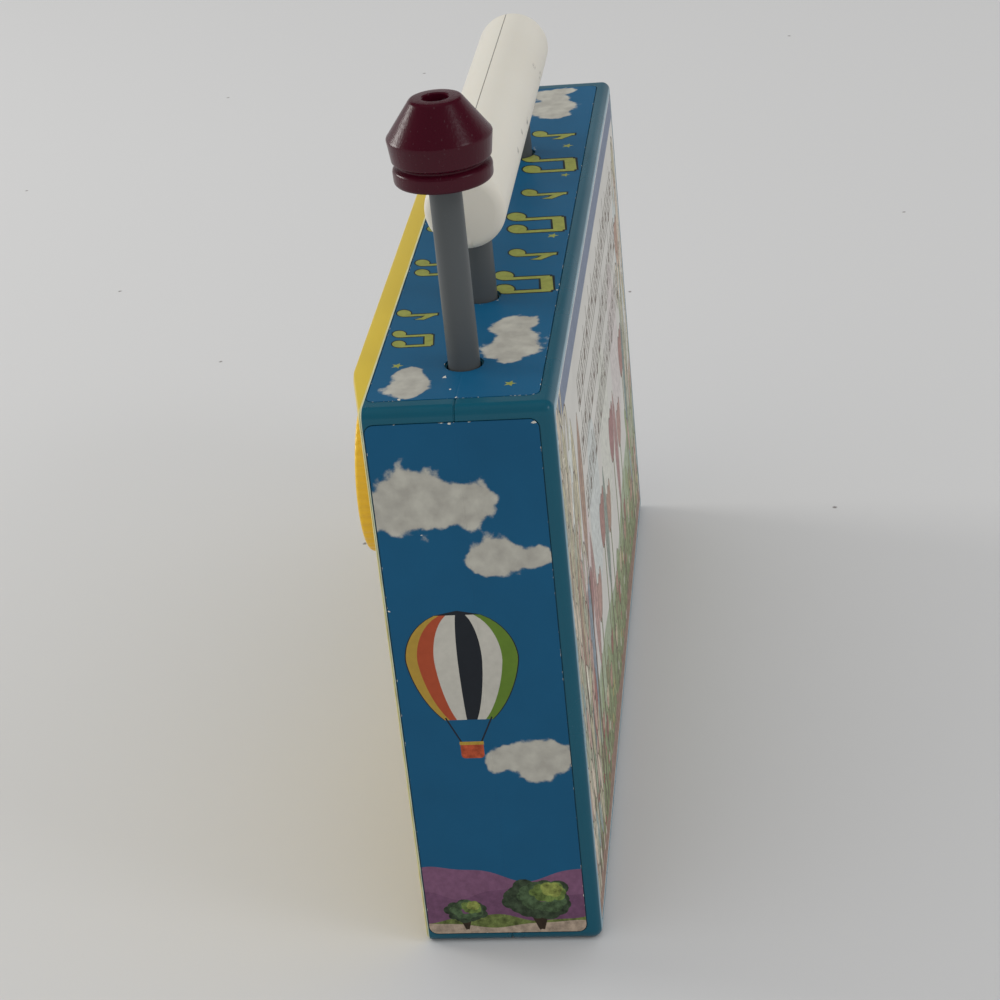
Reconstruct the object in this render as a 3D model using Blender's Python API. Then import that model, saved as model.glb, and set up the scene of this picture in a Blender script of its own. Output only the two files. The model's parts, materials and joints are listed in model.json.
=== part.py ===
# A wind-up toy radio with a picture screen, built as the pieces it comes apart into.
# Metres, +Z up, +X along the case towards the antenna, -Y towards the screen side.
# The origin lies on the table, under the middle of the whole toy.

import math

import bmesh
import bpy
from mathutils import Matrix, Vector

MM = 0.001

# Case: two moulded halves that meet near mid-depth
CASE_LENGTH = 238.7 * MM
CASE_HEIGHT = 150.0 * MM
CASE_DEPTH = 44.4 * MM
CASE_WALL = 2.4 * MM
CORNER_RADIUS = 3.0 * MM
REAR_EDGE_RADIUS = 2.4 * MM
SEAM_OFFSET = 0.7 * MM
SEAM_GAP = 0.3 * MM
SEAT_GAP = 0.3 * MM
RUN_GAP = 0.3 * MM
OVERRUN = 1.0 * MM

# Pegs that join the halves
PEG_DIAMETER = 4.0 * MM
PEG_LENGTH = 6.0 * MM
PEG_BOSS_DIAMETER = 8.0 * MM
PEG_INSET = 8.5 * MM

# Labels and the printed back panel
LABEL_THICKNESS = 0.3 * MM
LABEL_POCKET = 0.45 * MM
LABEL_BED_GAP = 0.2 * MM
LABEL_REAR_BORDER = 3.7 * MM
LABEL_FRONT_BORDER = 0.6 * MM
TOP_LABEL_END_BORDER = 5.7 * MM
END_LABEL_LOW_BORDER = 1.8 * MM
END_LABEL_HIGH_BORDER = 3.4 * MM
LABEL_CORNER_RADIUS = 2.2 * MM
LABEL_EDGE_GAP = 0.25 * MM
LABEL_HOLE_GAP = 0.9 * MM
PANEL_BORDER = 3.4 * MM
PANEL_THICKNESS = 0.8 * MM
PANEL_POCKET = 1.1 * MM
PANEL_CORNER_RADIUS = 2.0 * MM

# Front moulding
BEZEL_BORDER = 0.7 * MM
BEZEL_EDGE = 0.8 * MM
BEZEL_PROUD = 5.2 * MM
BEZEL_SEAT_GAP = 0.15 * MM
BEZEL_WALL = 2.0 * MM
BEZEL_SLOPE_WIDTH = 23.0 * MM
BEZEL_FOOT_SLOPE = 10.0 * MM
BEZEL_CORNER_RADIUS = 2.0 * MM

# Screen, which fills the front between its left border and the belt's driven roller
SCREEN_LEFT_BORDER = 35.35 * MM
SCREEN_TOP_BORDER = 23.0 * MM
SCREEN_HEIGHT = 80.0 * MM
SCREEN_CORNER_RADIUS = 10.0 * MM
SCREEN_BEVEL = 4.0 * MM
PANE_THICKNESS = 1.5 * MM
PANE_LAP = 3.0 * MM

# Sound slots, as many as the room under the dial holds
SLOT_WIDTH = 34.0 * MM
SLOT_HEIGHT = 3.0 * MM
SLOT_PITCH = 6.4 * MM
SLOT_LOWEST_Z = 25.0 * MM
SLOT_BELOW_DIAL = 18.5 * MM

# Dial: the round winding knob at the upper right of the front
DIAL_END_BORDER = 29.15 * MM
DIAL_TOP_BORDER = 19.8 * MM
DIAL_DIAMETER = 39.4 * MM
DIAL_PROUD = 9.5 * MM
DIAL_THICKNESS = 7.6 * MM
DIAL_RIB_COUNT = 45
DIAL_RIB_DEPTH = 0.35 * MM
DIAL_RECESS_GAP = 1.0 * MM
DIAL_BAR_WIDTH = 9.0 * MM
DIAL_SCOOP_DEPTH = 2.6 * MM
DIAL_SCOOP_BORDER = 3.6 * MM
DIAL_CHAMFER = 0.8 * MM

# Handle
GRIP_END_BORDER = 49.85 * MM
GRIP_DIAMETER = 19.9 * MM
GRIP_FILLET = 3.2 * MM
GRIP_CROWN = 0.6 * MM
GRIP_AXIS_HEIGHT = 27.9 * MM
POST_DIAMETER = 8.0 * MM
POST_FROM_GRIP_END = 16.0 * MM
POST_FLANGE_DIAMETER = 12.5 * MM
POST_FLANGE_THICKNESS = 3.0 * MM
POST_FOOT_LENGTH = 13.0 * MM
POST_HOLE_GAP = 0.35 * MM
SOCKET_BLOCK_LENGTH = 19.0 * MM
SOCKET_BLOCK_DEPTH = 9.0 * MM
SOCKET_BLOCK_HEIGHT = 14.5 * MM
SOCKET_PAST_AXIS = 1.0 * MM

# Antenna
MAST_END_BORDER = 24.85 * MM
MAST_DIAMETER = 7.6 * MM
MAST_TAIL = 0.6 * MM
MAST_HOLE_GAP = 0.5 * MM
MAST_SPIGOT_DIAMETER = 5.4 * MM
MAST_SPIGOT_LENGTH = 12.0 * MM
COLLAR_DIAMETER = 10.0 * MM
COLLAR_THICKNESS = 3.0 * MM
KNOB_FOOT_HEIGHT = 46.0 * MM
KNOB_HEIGHT = 19.2 * MM
KNOB_DIAMETER = 24.2 * MM
KNOB_FLAT_DIAMETER = 11.6 * MM
KNOB_BORE_DIAMETER = 6.1 * MM
KNOB_LOWER_BAND = 3.8 * MM
KNOB_UPPER_BAND = 5.6 * MM
KNOB_GROOVE_WIDTH = 1.4 * MM
KNOB_GROOVE_DEPTH = 1.2 * MM
KNOB_BAND_TAPER = 0.7 * MM
KNOB_BORE_DEPTH = 5.0 * MM
KNOB_EDGE = 0.6 * MM
GUIDE_BLOCK_LENGTH = 16.0 * MM
GUIDE_BLOCK_HEIGHT = 10.0 * MM
MAST_NECK_DIAMETER = 6.0 * MM

# Movement: bedplate, arbor and spring
PLATE_BEHIND_WALL = 5.8 * MM
PLATE_THICKNESS = 2.0 * MM
PLATE_LEFT_MARGIN = 25.5 * MM
PLATE_RIGHT_MARGIN = 30.0 * MM
PLATE_TOP_MARGIN = 24.0 * MM
PLATE_CORNER_RADIUS = 3.0 * MM
SCREW_HEAD_DIAMETER = 5.0 * MM
SCREW_HEAD_HEIGHT = 1.8 * MM
SCREW_SHANK_DIAMETER = 2.4 * MM
SCREW_DEPTH = 4.0 * MM
SCREW_SLOT_WIDTH = 0.7 * MM
SCREW_SLOT_DEPTH = 0.8 * MM
SCREW_INSET = 4.5 * MM
BOSS_DIAMETER = 7.0 * MM
ARBOR_DIAMETER = 4.0 * MM
ARBOR_GRIP = 4.6 * MM
HOUSING_DIAMETER = 25.0 * MM
HOUSING_DEPTH = 10.7 * MM
HOUSING_WALL = 1.0 * MM
SPRING_TURNS = 5
SPRING_STEPS = 12
SPRING_THICKNESS = 0.35 * MM
SPRING_INNER_RADIUS = 2.6 * MM

# Gear sizes: teeth, and the module that sets a tooth's size
COARSE_MODULE = 0.85 * MM
FINE_MODULE = 0.6 * MM
FEED_MODULE = 0.8 * MM
CROWN_TEETH = 40
DRUM_PINION_TEETH = 10
DRUM_WHEEL_TEETH = 22
IDLER_PINION_TEETH = 12
IDLER_WHEEL_TEETH = 26
GOVERNOR_PINION_TEETH = 10
FEED_PINION_TEETH = 12
TRANSFER_TEETH = 30
ROLLER_GEAR_TEETH = 16
GEAR_WIDTH = 1.6 * MM
PINION_WIDTH = 2.8 * MM
GEAR_BACKLASH = 0.12 * MM
PRESSURE_ANGLE = math.radians(20)
ADDENDUM_SHARE = 0.95
DEDENDUM_SHARE = 1.2
LEVEL_GAP = 1.0 * MM
CROWN_WEB = 1.4 * MM
CROWN_RIM = 0.3 * MM
RATCHET_TEETH = 12
RATCHET_RADIUS = 7.5 * MM
RATCHET_STEP = 1.6 * MM
RATCHET_WIDTH = 1.6 * MM
RATCHET_RISE_SHARE = 0.85
CLICK_REACH = 11.4 * MM
CLICK_TOOTH = 5
CLICK_LEAD = math.radians(29)
CLICK_WIDTH = 2.6 * MM
CLICK_PIN_DIAMETER = 1.6 * MM
CLIP_DIAMETER = 7.5 * MM
CLIP_THICKNESS = 0.8 * MM

# Drum and comb
DRUM_RADIUS = 6.4 * MM
DRUM_LENGTH = 33.0 * MM
DRUM_PIN_LENGTH = 0.6 * MM
DRUM_PIN_WIDTH = 0.55 * MM
PINS_PER_NOTE = 2
PIN_GRID = 24
PIN_NOTE_STEP = 5
PIN_BEAT_STEP = 7
DRUM_ARBOR_DIAMETER = 2.0 * MM
DRUM_PLATE_GAP = 1.1 * MM
COMB_TEETH = 18
COMB_PITCH = 1.7 * MM
COMB_SLIT = 0.5 * MM
COMB_THICKNESS = 1.0 * MM
COMB_TOOTH_SHORT = 8.0 * MM
COMB_TOOTH_LONG = 11.5 * MM
COMB_BASE_WIDTH = 6.0 * MM
COMB_TIP_GAP = 0.35 * MM
COMB_SCREW_DEPTH = 5.0 * MM
EAR_THICKNESS = 1.6 * MM
EAR_HALF_WIDTH = 5.0 * MM
EAR_REACH = 2.6 * MM

# Governor
BRACKET_THICKNESS = 1.6 * MM
FAN_RADIUS = 6.5 * MM
FAN_HEIGHT = 11.5 * MM
FAN_THICKNESS = 0.8 * MM
FAN_HUB_RADIUS = 2.0 * MM
BRACKET_TAB = 6.5 * MM
BRACKET_WIDTH = 8.0 * MM
ARM_BORDER = 2.4 * MM
SPINDLE_DIAMETER = 1.6 * MM
IDLER_ANGLE = math.radians(35)
GOVERNOR_ANGLE = math.radians(-20)

# Picture belt and its rollers
ROLLER_DIAMETER = 12.0 * MM
ROLLER_ARBOR_DIAMETER = 3.0 * MM
ROLLER_OUTSIDE_SCREEN = 13.0 * MM
ROLLER_SEAT_DEPTH = 7.8 * MM
DRIVE_FOLD = 0.871 * MM
BELT_THICKNESS = 0.4 * MM
BELT_LAP = 3.0 * MM
BEARING_THICKNESS = 3.0 * MM
BEARING_HALF_WIDTH = 5.0 * MM
BEARING_MOUTH = 2.6 * MM
BELT_GAP = 0.3 * MM
STUD_DIAMETER = 2.4 * MM
STUD_HEAD_DIAMETER = 5.0 * MM
STUD_HEAD_HEIGHT = 1.2 * MM

# How finely round shapes are divided
DIAL_STEPS = 32
ROUND_STEPS = 18
FLANK_STEPS = 1
BORE_STEPS = 10
FAN_HUB_STEPS = 6
FILLET_STEPS = 3
CORNER_STEPS = 3
SHARP_ANGLE = math.radians(32)

# Finishes: colour, roughness, metallic
TEAL_PLASTIC = ("teal_plastic", (0.020, 0.120, 0.170), 0.35, 0.0)
YELLOW_PLASTIC = ("yellow_plastic", (0.800, 0.560, 0.030), 0.35, 0.0)
IVORY_PLASTIC = ("ivory_plastic", (0.740, 0.720, 0.660), 0.40, 0.0)
GREY_PLASTIC = ("grey_plastic", (0.120, 0.130, 0.135), 0.45, 0.0)
MAROON_PLASTIC = ("maroon_plastic", (0.110, 0.010, 0.018), 0.30, 0.0)
WHITE_PLASTIC = ("white_plastic", (0.780, 0.780, 0.760), 0.45, 0.0)
PRINTED_PAPER = ("printed_paper", (0.060, 0.150, 0.300), 0.55, 0.0)
PRINTED_BACK = ("printed_back", (0.620, 0.620, 0.600), 0.60, 0.0)
CLEAR_PANE = ("clear_pane", (0.850, 0.880, 0.880), 0.08, 0.0)
STEEL = ("steel", (0.450, 0.450, 0.460), 0.30, 1.0)
SPRING_STEEL = ("spring_steel", (0.300, 0.320, 0.360), 0.30, 1.0)
BRASS = ("brass", (0.620, 0.440, 0.160), 0.32, 1.0)
CAST_ZINC = ("cast_zinc", (0.400, 0.400, 0.390), 0.45, 1.0)



def pitch_radius(teeth, module):
    return teeth * module / 2


# Places that follow from the sizes
CASE_Y = DIAL_PROUD / 2
FRONT_Y = CASE_Y - CASE_DEPTH / 2
BACK_Y = CASE_Y + CASE_DEPTH / 2
SEAM_Y = CASE_Y - SEAM_OFFSET
FRONT_HALF_Y = SEAM_Y - SEAM_GAP / 2
REAR_HALF_Y = SEAM_Y + SEAM_GAP / 2
INNER_FRONT_Y = FRONT_Y + CASE_WALL
INNER_BACK_Y = BACK_Y - CASE_WALL
INNER_TOP_Z = CASE_HEIGHT - CASE_WALL
HALF_LENGTH = CASE_LENGTH / 2
CASE_MID_Z = CASE_HEIGHT / 2
DIAL_CENTRE_X = HALF_LENGTH - DIAL_END_BORDER - DIAL_DIAMETER / 2
DIAL_CENTRE_Z = CASE_HEIGHT - DIAL_TOP_BORDER - DIAL_DIAMETER / 2
MAST_X = HALF_LENGTH - MAST_END_BORDER
GRIP_LENGTH = CASE_LENGTH - 2 * GRIP_END_BORDER
POST_SPACING = GRIP_LENGTH - 2 * POST_FROM_GRIP_END
SLOT_HIGHEST_Z = DIAL_CENTRE_Z - DIAL_DIAMETER / 2 - SLOT_BELOW_DIAL
SLOT_COUNT = 1 + math.floor((SLOT_HIGHEST_Z - SLOT_LOWEST_Z) / SLOT_PITCH)

BEZEL_BACK_Y = FRONT_Y - BEZEL_SEAT_GAP
BEZEL_RIM_Y = BEZEL_BACK_Y - BEZEL_EDGE
PLATEAU_Y = FRONT_Y - BEZEL_PROUD
DIAL_FACE_Y = FRONT_Y - DIAL_PROUD
DIAL_BACK_Y = DIAL_FACE_Y + DIAL_THICKNESS
PANE_BACK_Y = BEZEL_BACK_Y - SEAT_GAP
PANE_FRONT_Y = PANE_BACK_Y - PANE_THICKNESS

SCREEN_HIGH_Z = CASE_HEIGHT - SCREEN_TOP_BORDER
SCREEN_LOW_Z = SCREEN_HIGH_Z - SCREEN_HEIGHT
SCREEN_CENTRE_Z = (SCREEN_LOW_Z + SCREEN_HIGH_Z) / 2
BELT_LOW_Z = SCREEN_LOW_Z - BELT_LAP
BELT_HIGH_Z = SCREEN_HIGH_Z + BELT_LAP
ROLLER_Y = INNER_FRONT_Y + ROLLER_SEAT_DEPTH

GRIP_Z = CASE_HEIGHT + GRIP_AXIS_HEIGHT
KNOB_LOW_Z = CASE_HEIGHT + KNOB_FOOT_HEIGHT

PLATE_FRONT_Y = INNER_FRONT_Y + PLATE_BEHIND_WALL
PLATE_BACK_Y = PLATE_FRONT_Y + PLATE_THICKNESS
PLATE_LEFT_X = DIAL_CENTRE_X - PLATE_LEFT_MARGIN
PLATE_RIGHT_X = DIAL_CENTRE_X + PLATE_RIGHT_MARGIN
PLATE_TOP_Z = DIAL_CENTRE_Z + PLATE_TOP_MARGIN
DRUM_X = DIAL_CENTRE_X
DRUM_Y = PLATE_BACK_Y + DRUM_PLATE_GAP + DRUM_RADIUS

# The driven roller stands where the transfer gear reaches it from the drum
DRUM_REACH = pitch_radius(FEED_PINION_TEETH + TRANSFER_TEETH, FEED_MODULE)
ROLLER_REACH = pitch_radius(TRANSFER_TEETH + ROLLER_GEAR_TEETH, FEED_MODULE)
DRIVE_SPAN = DRUM_REACH + ROLLER_REACH - DRIVE_FOLD
ROLLER_RIGHT_X = DRUM_X - math.sqrt(DRIVE_SPAN**2 - (DRUM_Y - ROLLER_Y) ** 2)
SCREEN_RIGHT_X = ROLLER_RIGHT_X - ROLLER_OUTSIDE_SCREEN
SCREEN_LEFT_X = -HALF_LENGTH + SCREEN_LEFT_BORDER
SCREEN_WIDTH = SCREEN_RIGHT_X - SCREEN_LEFT_X
SCREEN_CENTRE_X = (SCREEN_LEFT_X + SCREEN_RIGHT_X) / 2
ROLLER_LEFT_X = SCREEN_LEFT_X - ROLLER_OUTSIDE_SCREEN

CROWN_RADIUS = pitch_radius(CROWN_TEETH, COARSE_MODULE)
CROWN_PITCH_Y = DRUM_Y + pitch_radius(DRUM_PINION_TEETH, COARSE_MODULE)
CROWN_TIP_Y = CROWN_PITCH_Y - COARSE_MODULE * ADDENDUM_SHARE
CROWN_ROOT_Y = CROWN_PITCH_Y + COARSE_MODULE * DEDENDUM_SHARE
CROWN_BACK_Y = CROWN_ROOT_Y + CROWN_WEB
RATCHET_FRONT_Y = CROWN_BACK_Y + SEAT_GAP
RATCHET_BACK_Y = RATCHET_FRONT_Y + RATCHET_WIDTH
CLIP_FRONT_Y = RATCHET_BACK_Y + SEAT_GAP
CLIP_BACK_Y = CLIP_FRONT_Y + CLIP_THICKNESS

# Heights of the wheels, from the crown wheel down to the feed gears
DRUM_PINION_TOP_Z = DIAL_CENTRE_Z - CROWN_RADIUS + PINION_WIDTH / 2
DRUM_PINION_LOW_Z = DRUM_PINION_TOP_Z - PINION_WIDTH
DRUM_TOP_Z = DRUM_PINION_LOW_Z - SEAT_GAP
DRUM_LOW_Z = DRUM_TOP_Z - DRUM_LENGTH
FAST_WHEEL_TOP_Z = DRUM_LOW_Z - LEVEL_GAP
FAST_WHEEL_LOW_Z = FAST_WHEEL_TOP_Z - GEAR_WIDTH
SLOW_WHEEL_TOP_Z = FAST_WHEEL_LOW_Z - LEVEL_GAP
SLOW_WHEEL_LOW_Z = SLOW_WHEEL_TOP_Z - GEAR_WIDTH
FAN_LOW_Z = FAST_WHEEL_TOP_Z + 2 * LEVEL_GAP
FAN_TOP_Z = FAN_LOW_Z + FAN_HEIGHT
TOP_EAR_LOW_Z = DRUM_PINION_TOP_Z + SEAT_GAP
TOP_EAR_HIGH_Z = TOP_EAR_LOW_Z + EAR_THICKNESS
FEED_TOP_Z = BELT_LOW_Z - LEVEL_GAP
FEED_LOW_Z = FEED_TOP_Z - GEAR_WIDTH
FOOT_EAR_LOW_Z = FEED_TOP_Z + SEAT_GAP
FOOT_EAR_HIGH_Z = FOOT_EAR_LOW_Z + EAR_THICKNESS
LOW_ARM_HIGH_Z = SLOW_WHEEL_LOW_Z - SEAT_GAP
LOW_ARM_LOW_Z = LOW_ARM_HIGH_Z - BRACKET_THICKNESS
HIGH_ARM_LOW_Z = FAN_TOP_Z + LEVEL_GAP
HIGH_ARM_HIGH_Z = HIGH_ARM_LOW_Z + BRACKET_THICKNESS

COMB_TIP_X = DRUM_X - DRUM_RADIUS - DRUM_PIN_LENGTH - COMB_TIP_GAP
COMB_BASE_X = COMB_TIP_X - COMB_TOOTH_LONG
COMB_LEFT_X = COMB_BASE_X - COMB_BASE_WIDTH
COMB_LOW_Z = (DRUM_LOW_Z + DRUM_TOP_Z - COMB_TEETH * COMB_PITCH) / 2
COMB_HIGH_Z = COMB_LOW_Z + COMB_TEETH * COMB_PITCH
COMB_FRONT_Y = DRUM_Y - COMB_THICKNESS / 2
COMB_BACK_Y = DRUM_Y + COMB_THICKNESS / 2


def polar(centre, radius, angle):
    return (centre[0] + radius * math.cos(angle), centre[1] + radius * math.sin(angle))


def meeting_axis(first, first_reach, second, second_reach):
    """The axis that lies at two given distances from two axes, on their rear side."""
    across = Vector(second) - Vector(first)
    span = across.length
    along = (first_reach**2 - second_reach**2 + span**2) / (2 * span)
    aside = math.sqrt(first_reach**2 - along**2)
    forward = across / span
    rearward = Vector((forward.y, -forward.x))
    if rearward.y < 0:
        rearward = -rearward
    return tuple(Vector(first) + forward * along + rearward * aside)


DRUM_AXIS = (DRUM_X, DRUM_Y)
ROLLER_RIGHT_AXIS = (ROLLER_RIGHT_X, ROLLER_Y)
ROLLER_LEFT_AXIS = (ROLLER_LEFT_X, ROLLER_Y)
SLOW_REACH = pitch_radius(DRUM_WHEEL_TEETH + IDLER_PINION_TEETH, FINE_MODULE)
FAST_REACH = pitch_radius(IDLER_WHEEL_TEETH + GOVERNOR_PINION_TEETH, FINE_MODULE)
IDLER_AXIS = polar(DRUM_AXIS, SLOW_REACH, IDLER_ANGLE)
GOVERNOR_AXIS = polar(IDLER_AXIS, FAST_REACH, GOVERNOR_ANGLE)
SPINE_LEFT_X = GOVERNOR_AXIS[0] - BRACKET_WIDTH / 2
SPINE_RIGHT_X = GOVERNOR_AXIS[0] + BRACKET_WIDTH / 2
SPINE_FRONT_Y = PLATE_BACK_Y + SEAT_GAP
SPINE_BACK_Y = SPINE_FRONT_Y + BRACKET_THICKNESS
TRANSFER_AXIS = meeting_axis(DRUM_AXIS, DRUM_REACH, ROLLER_RIGHT_AXIS, ROLLER_REACH)


def clear_scene():
    for item in list(bpy.data.objects):
        bpy.data.objects.remove(item, do_unlink=True)


def finish_material(finish):
    name, colour, roughness, metallic = finish
    material = bpy.data.materials.get(name)
    if material is None:
        material = bpy.data.materials.new(name)
        material.use_nodes = True
        shader = material.node_tree.nodes["Principled BSDF"]
        shader.inputs["Base Color"].default_value = (*colour, 1.0)
        shader.inputs["Roughness"].default_value = roughness
        shader.inputs["Metallic"].default_value = metallic
    return material


def axis_empty(name, location):
    """An empty on a joint's axis, which carries the pieces that turn or slide on it."""
    empty = bpy.data.objects.new(name, None)
    empty.location = location
    bpy.context.scene.collection.objects.link(empty)
    return empty


def piece(name, bm, finish, carrier=None):
    """Turn a finished bmesh into a named object that hangs on its carrier."""
    bmesh.ops.recalc_face_normals(bm, faces=bm.faces)
    mesh = bpy.data.meshes.new(name)
    bm.to_mesh(mesh)
    bm.free()
    item = bpy.data.objects.new(name, mesh)
    bpy.context.scene.collection.objects.link(item)
    if carrier is not None:
        mesh.transform(Matrix.Translation(-carrier.location))
        item.parent = carrier
    mesh.materials.append(finish_material(finish))
    mesh.shade_smooth()
    mesh.set_sharp_from_angle(angle=SHARP_ANGLE)
    return item


def shape_by(item, bm, operation):
    """Add a helper body to a piece, or cut it away, with a Boolean modifier."""
    bmesh.ops.recalc_face_normals(bm, faces=bm.faces)
    name = f"{item.name}_{operation.lower()}_{len(item.modifiers)}"
    mesh = bpy.data.meshes.new(name)
    bm.to_mesh(mesh)
    bm.free()
    helper = bpy.data.objects.new(name, mesh)
    bpy.context.scene.collection.objects.link(helper)
    helper.hide_render = True
    helper.display_type = "WIRE"
    boolean = item.modifiers.new(operation.title(), "BOOLEAN")
    boolean.operation = operation
    boolean.object = helper


def spot(u, v, height, axis):
    """A point from its two outline coordinates and its height along the axis."""
    if axis == "x":
        return Vector((height, u, v))
    if axis == "y":
        return Vector((u, height, v))
    return Vector((u, v, height))


def loft(bm, levels, axis):
    """Skin matching outlines, given as (height, outline), and cap both ends."""
    rings = []
    for height, outline in levels:
        rings.append([bm.verts.new(spot(u, v, height, axis)) for u, v in outline])
    count = len(rings[0])
    for low, high in zip(rings, rings[1:]):
        for i in range(count):
            j = (i + 1) % count
            bm.faces.new((low[i], low[j], high[j], high[i]))
    bm.faces.new(rings[0])
    bm.faces.new(rings[-1])


def extrude(bm, outline, low, high, axis, holes=()):
    """Extrude an outline with holes between two heights."""
    if not holes:
        loft(bm, [(low, outline), (high, outline)], axis)
        return
    caps = ([], [])
    for loop in (outline, *holes):
        rings = []
        for height in (low, high):
            rings.append([bm.verts.new(spot(u, v, height, axis)) for u, v in loop])
        count = len(loop)
        for i in range(count):
            j = (i + 1) % count
            bm.faces.new((rings[0][i], rings[0][j], rings[1][j], rings[1][i]))
            for cap, ring in zip(caps, rings):
                cap.append(bm.edges.get((ring[i], ring[j])))
    for cap in caps:
        bmesh.ops.triangle_fill(bm, use_beauty=True, use_dissolve=False, edges=cap)


def block(bm, low, high):
    """A box between two corners."""
    outline = [(low[0], low[1]), (high[0], low[1]), (high[0], high[1]), (low[0], high[1])]
    loft(bm, [(low[2], outline), (high[2], outline)], "z")


def turned(bm, profile, centre, axis, steps):
    """Turn a profile of (radius, height) points about an axis through the centre."""
    rings = []
    for radius, height in profile:
        if radius == 0:
            rings.append([bm.verts.new(spot(*centre, height, axis))])
        else:
            ring = [polar(centre, radius, math.tau * i / steps) for i in range(steps)]
            rings.append([bm.verts.new(spot(*point, height, axis)) for point in ring])
    pairs = list(zip(rings, rings[1:]))
    if len(rings[0]) > 1:
        pairs.append((rings[-1], rings[0]))
    for low, high in pairs:
        for i in range(steps):
            j = (i + 1) % steps
            if len(low) == 1:
                bm.faces.new((low[0], high[j], high[i]))
            elif len(high) == 1:
                bm.faces.new((low[i], low[j], high[0]))
            else:
                bm.faces.new((low[i], low[j], high[j], high[i]))


def cylinder(bm, centre, radius, low, high, axis, steps):
    turned(bm, [(0, low), (radius, low), (radius, high), (0, high)], centre, axis, steps)


def circle(centre, radius, steps):
    return [polar(centre, radius, math.tau * i / steps) for i in range(steps)]


def rounded_rectangle(centre, width, height, radius, steps=CORNER_STEPS):
    outline = []
    for turn in range(4):
        start = turn * math.pi / 2
        across = 1 if turn in (0, 3) else -1
        upward = 1 if turn in (0, 1) else -1
        corner_u = centre[0] + across * (width / 2 - radius)
        corner_v = centre[1] + upward * (height / 2 - radius)
        for i in range(steps + 1):
            outline.append(polar((corner_u, corner_v), radius, start + i / steps * math.pi / 2))
    return outline


def stadium(first, second, radius, steps):
    """The outline of a band around two equal rollers, second to the right of first."""
    outline = [polar(second, radius, -math.pi / 2 + math.pi * i / steps) for i in range(steps + 1)]
    outline += [polar(first, radius, math.pi / 2 + math.pi * i / steps) for i in range(steps + 1)]
    return outline


def involute(radius, base):
    pressure = math.acos(min(1.0, base / radius))
    return math.tan(pressure) - pressure


def gear_outline(teeth, module, centre, phase=0.0):
    """Involute teeth, with one tooth's middle at the phase angle."""
    pitch = pitch_radius(teeth, module)
    base = pitch * math.cos(PRESSURE_ANGLE)
    root = pitch - DEDENDUM_SHARE * module
    tip = pitch + ADDENDUM_SHARE * module
    half_at_pitch = (math.pi * module / 2 - GEAR_BACKLASH) / (2 * pitch)
    flank = []
    for step in range(FLANK_STEPS + 1):
        radius = root + (tip - root) * step / FLANK_STEPS
        half = half_at_pitch + involute(pitch, base) - involute(max(radius, base), base)
        flank.append((radius, half))
    outline = []
    for tooth in range(teeth):
        middle = phase + math.tau * tooth / teeth
        outline += [polar(centre, radius, middle - half) for radius, half in flank]
        outline += [polar(centre, radius, middle + half) for radius, half in reversed(flank)]
    return outline


def meshing_phase(phase, teeth, centre, other_centre, other_teeth, module):
    """The phase at which a second gear's teeth fall in the first one's spaces."""
    toward = math.atan2(other_centre[1] - centre[1], other_centre[0] - centre[0])
    tooth_shift = (phase - toward) * pitch_radius(teeth, module) + math.pi * module / 2
    return toward + math.pi - tooth_shift / pitch_radius(other_teeth, module)


def gear(name, toothing, low, high, bore, finish, carrier):
    """A bored gear. The toothing is its teeth, module, centre and phase."""
    bm = bmesh.new()
    hole = circle(toothing[2], bore, BORE_STEPS)
    extrude(bm, gear_outline(*toothing), low, high, "z", [hole])
    return piece(name, bm, finish, carrier)


def pinion_arbor(name, centre, low, high, carrier, toothing, pinion_low, pinion_high):
    """A thin steel arbor with a pinion cut on it."""
    bm = bmesh.new()
    extrude(bm, gear_outline(*toothing), pinion_low, pinion_high, "z")
    item = piece(name, bm, STEEL, carrier)
    shaft = bmesh.new()
    cylinder(shaft, centre, SPINDLE_DIAMETER / 2, low, high, "z", BORE_STEPS)
    shape_by(item, shaft, "UNION")


def screw(name, centre, seat, axis, head_side, depth=SCREW_DEPTH, carrier=None):
    """A slotted cheese-head screw whose head sits just off its seat."""
    bm = bmesh.new()
    under = seat + head_side * SEAT_GAP
    top = under + head_side * SCREW_HEAD_HEIGHT
    end = seat - head_side * depth
    head = SCREW_HEAD_DIAMETER / 2
    shank = SCREW_SHANK_DIAMETER / 2
    profile = [(0, top), (head, top), (head, under), (shank, under), (shank, end), (0, end)]
    turned(bm, profile, centre, axis, BORE_STEPS)
    item = piece(name, bm, STEEL, carrier)
    slot = bmesh.new()
    length = SCREW_HEAD_DIAMETER + OVERRUN
    outline = rounded_rectangle(centre, length, SCREW_SLOT_WIDTH, SCREW_SLOT_WIDTH / 4, 1)
    levels = sorted((top - head_side * SCREW_SLOT_DEPTH, top + head_side * OVERRUN))
    extrude(slot, outline, *levels, axis)
    shape_by(item, slot, "DIFFERENCE")
    return item


# The case


def post_profile(gap):
    """A handle post's outline, or with a gap the pocket that traps it."""
    shaft = POST_DIAMETER / 2 + gap
    flange = POST_FLANGE_DIAMETER / 2 + gap
    foot = INNER_TOP_Z - POST_FOOT_LENGTH
    flange_low = foot + POST_FLANGE_THICKNESS
    flange_high = flange_low + POST_FLANGE_THICKNESS
    top = GRIP_Z + SOCKET_PAST_AXIS
    return [
        (0, foot - gap),
        (shaft, foot - gap),
        (shaft, flange_low - gap),
        (flange, flange_low - gap),
        (flange, flange_high + gap),
        (shaft, flange_high + gap),
        (shaft, top),
        (0, top),
    ]


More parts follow.
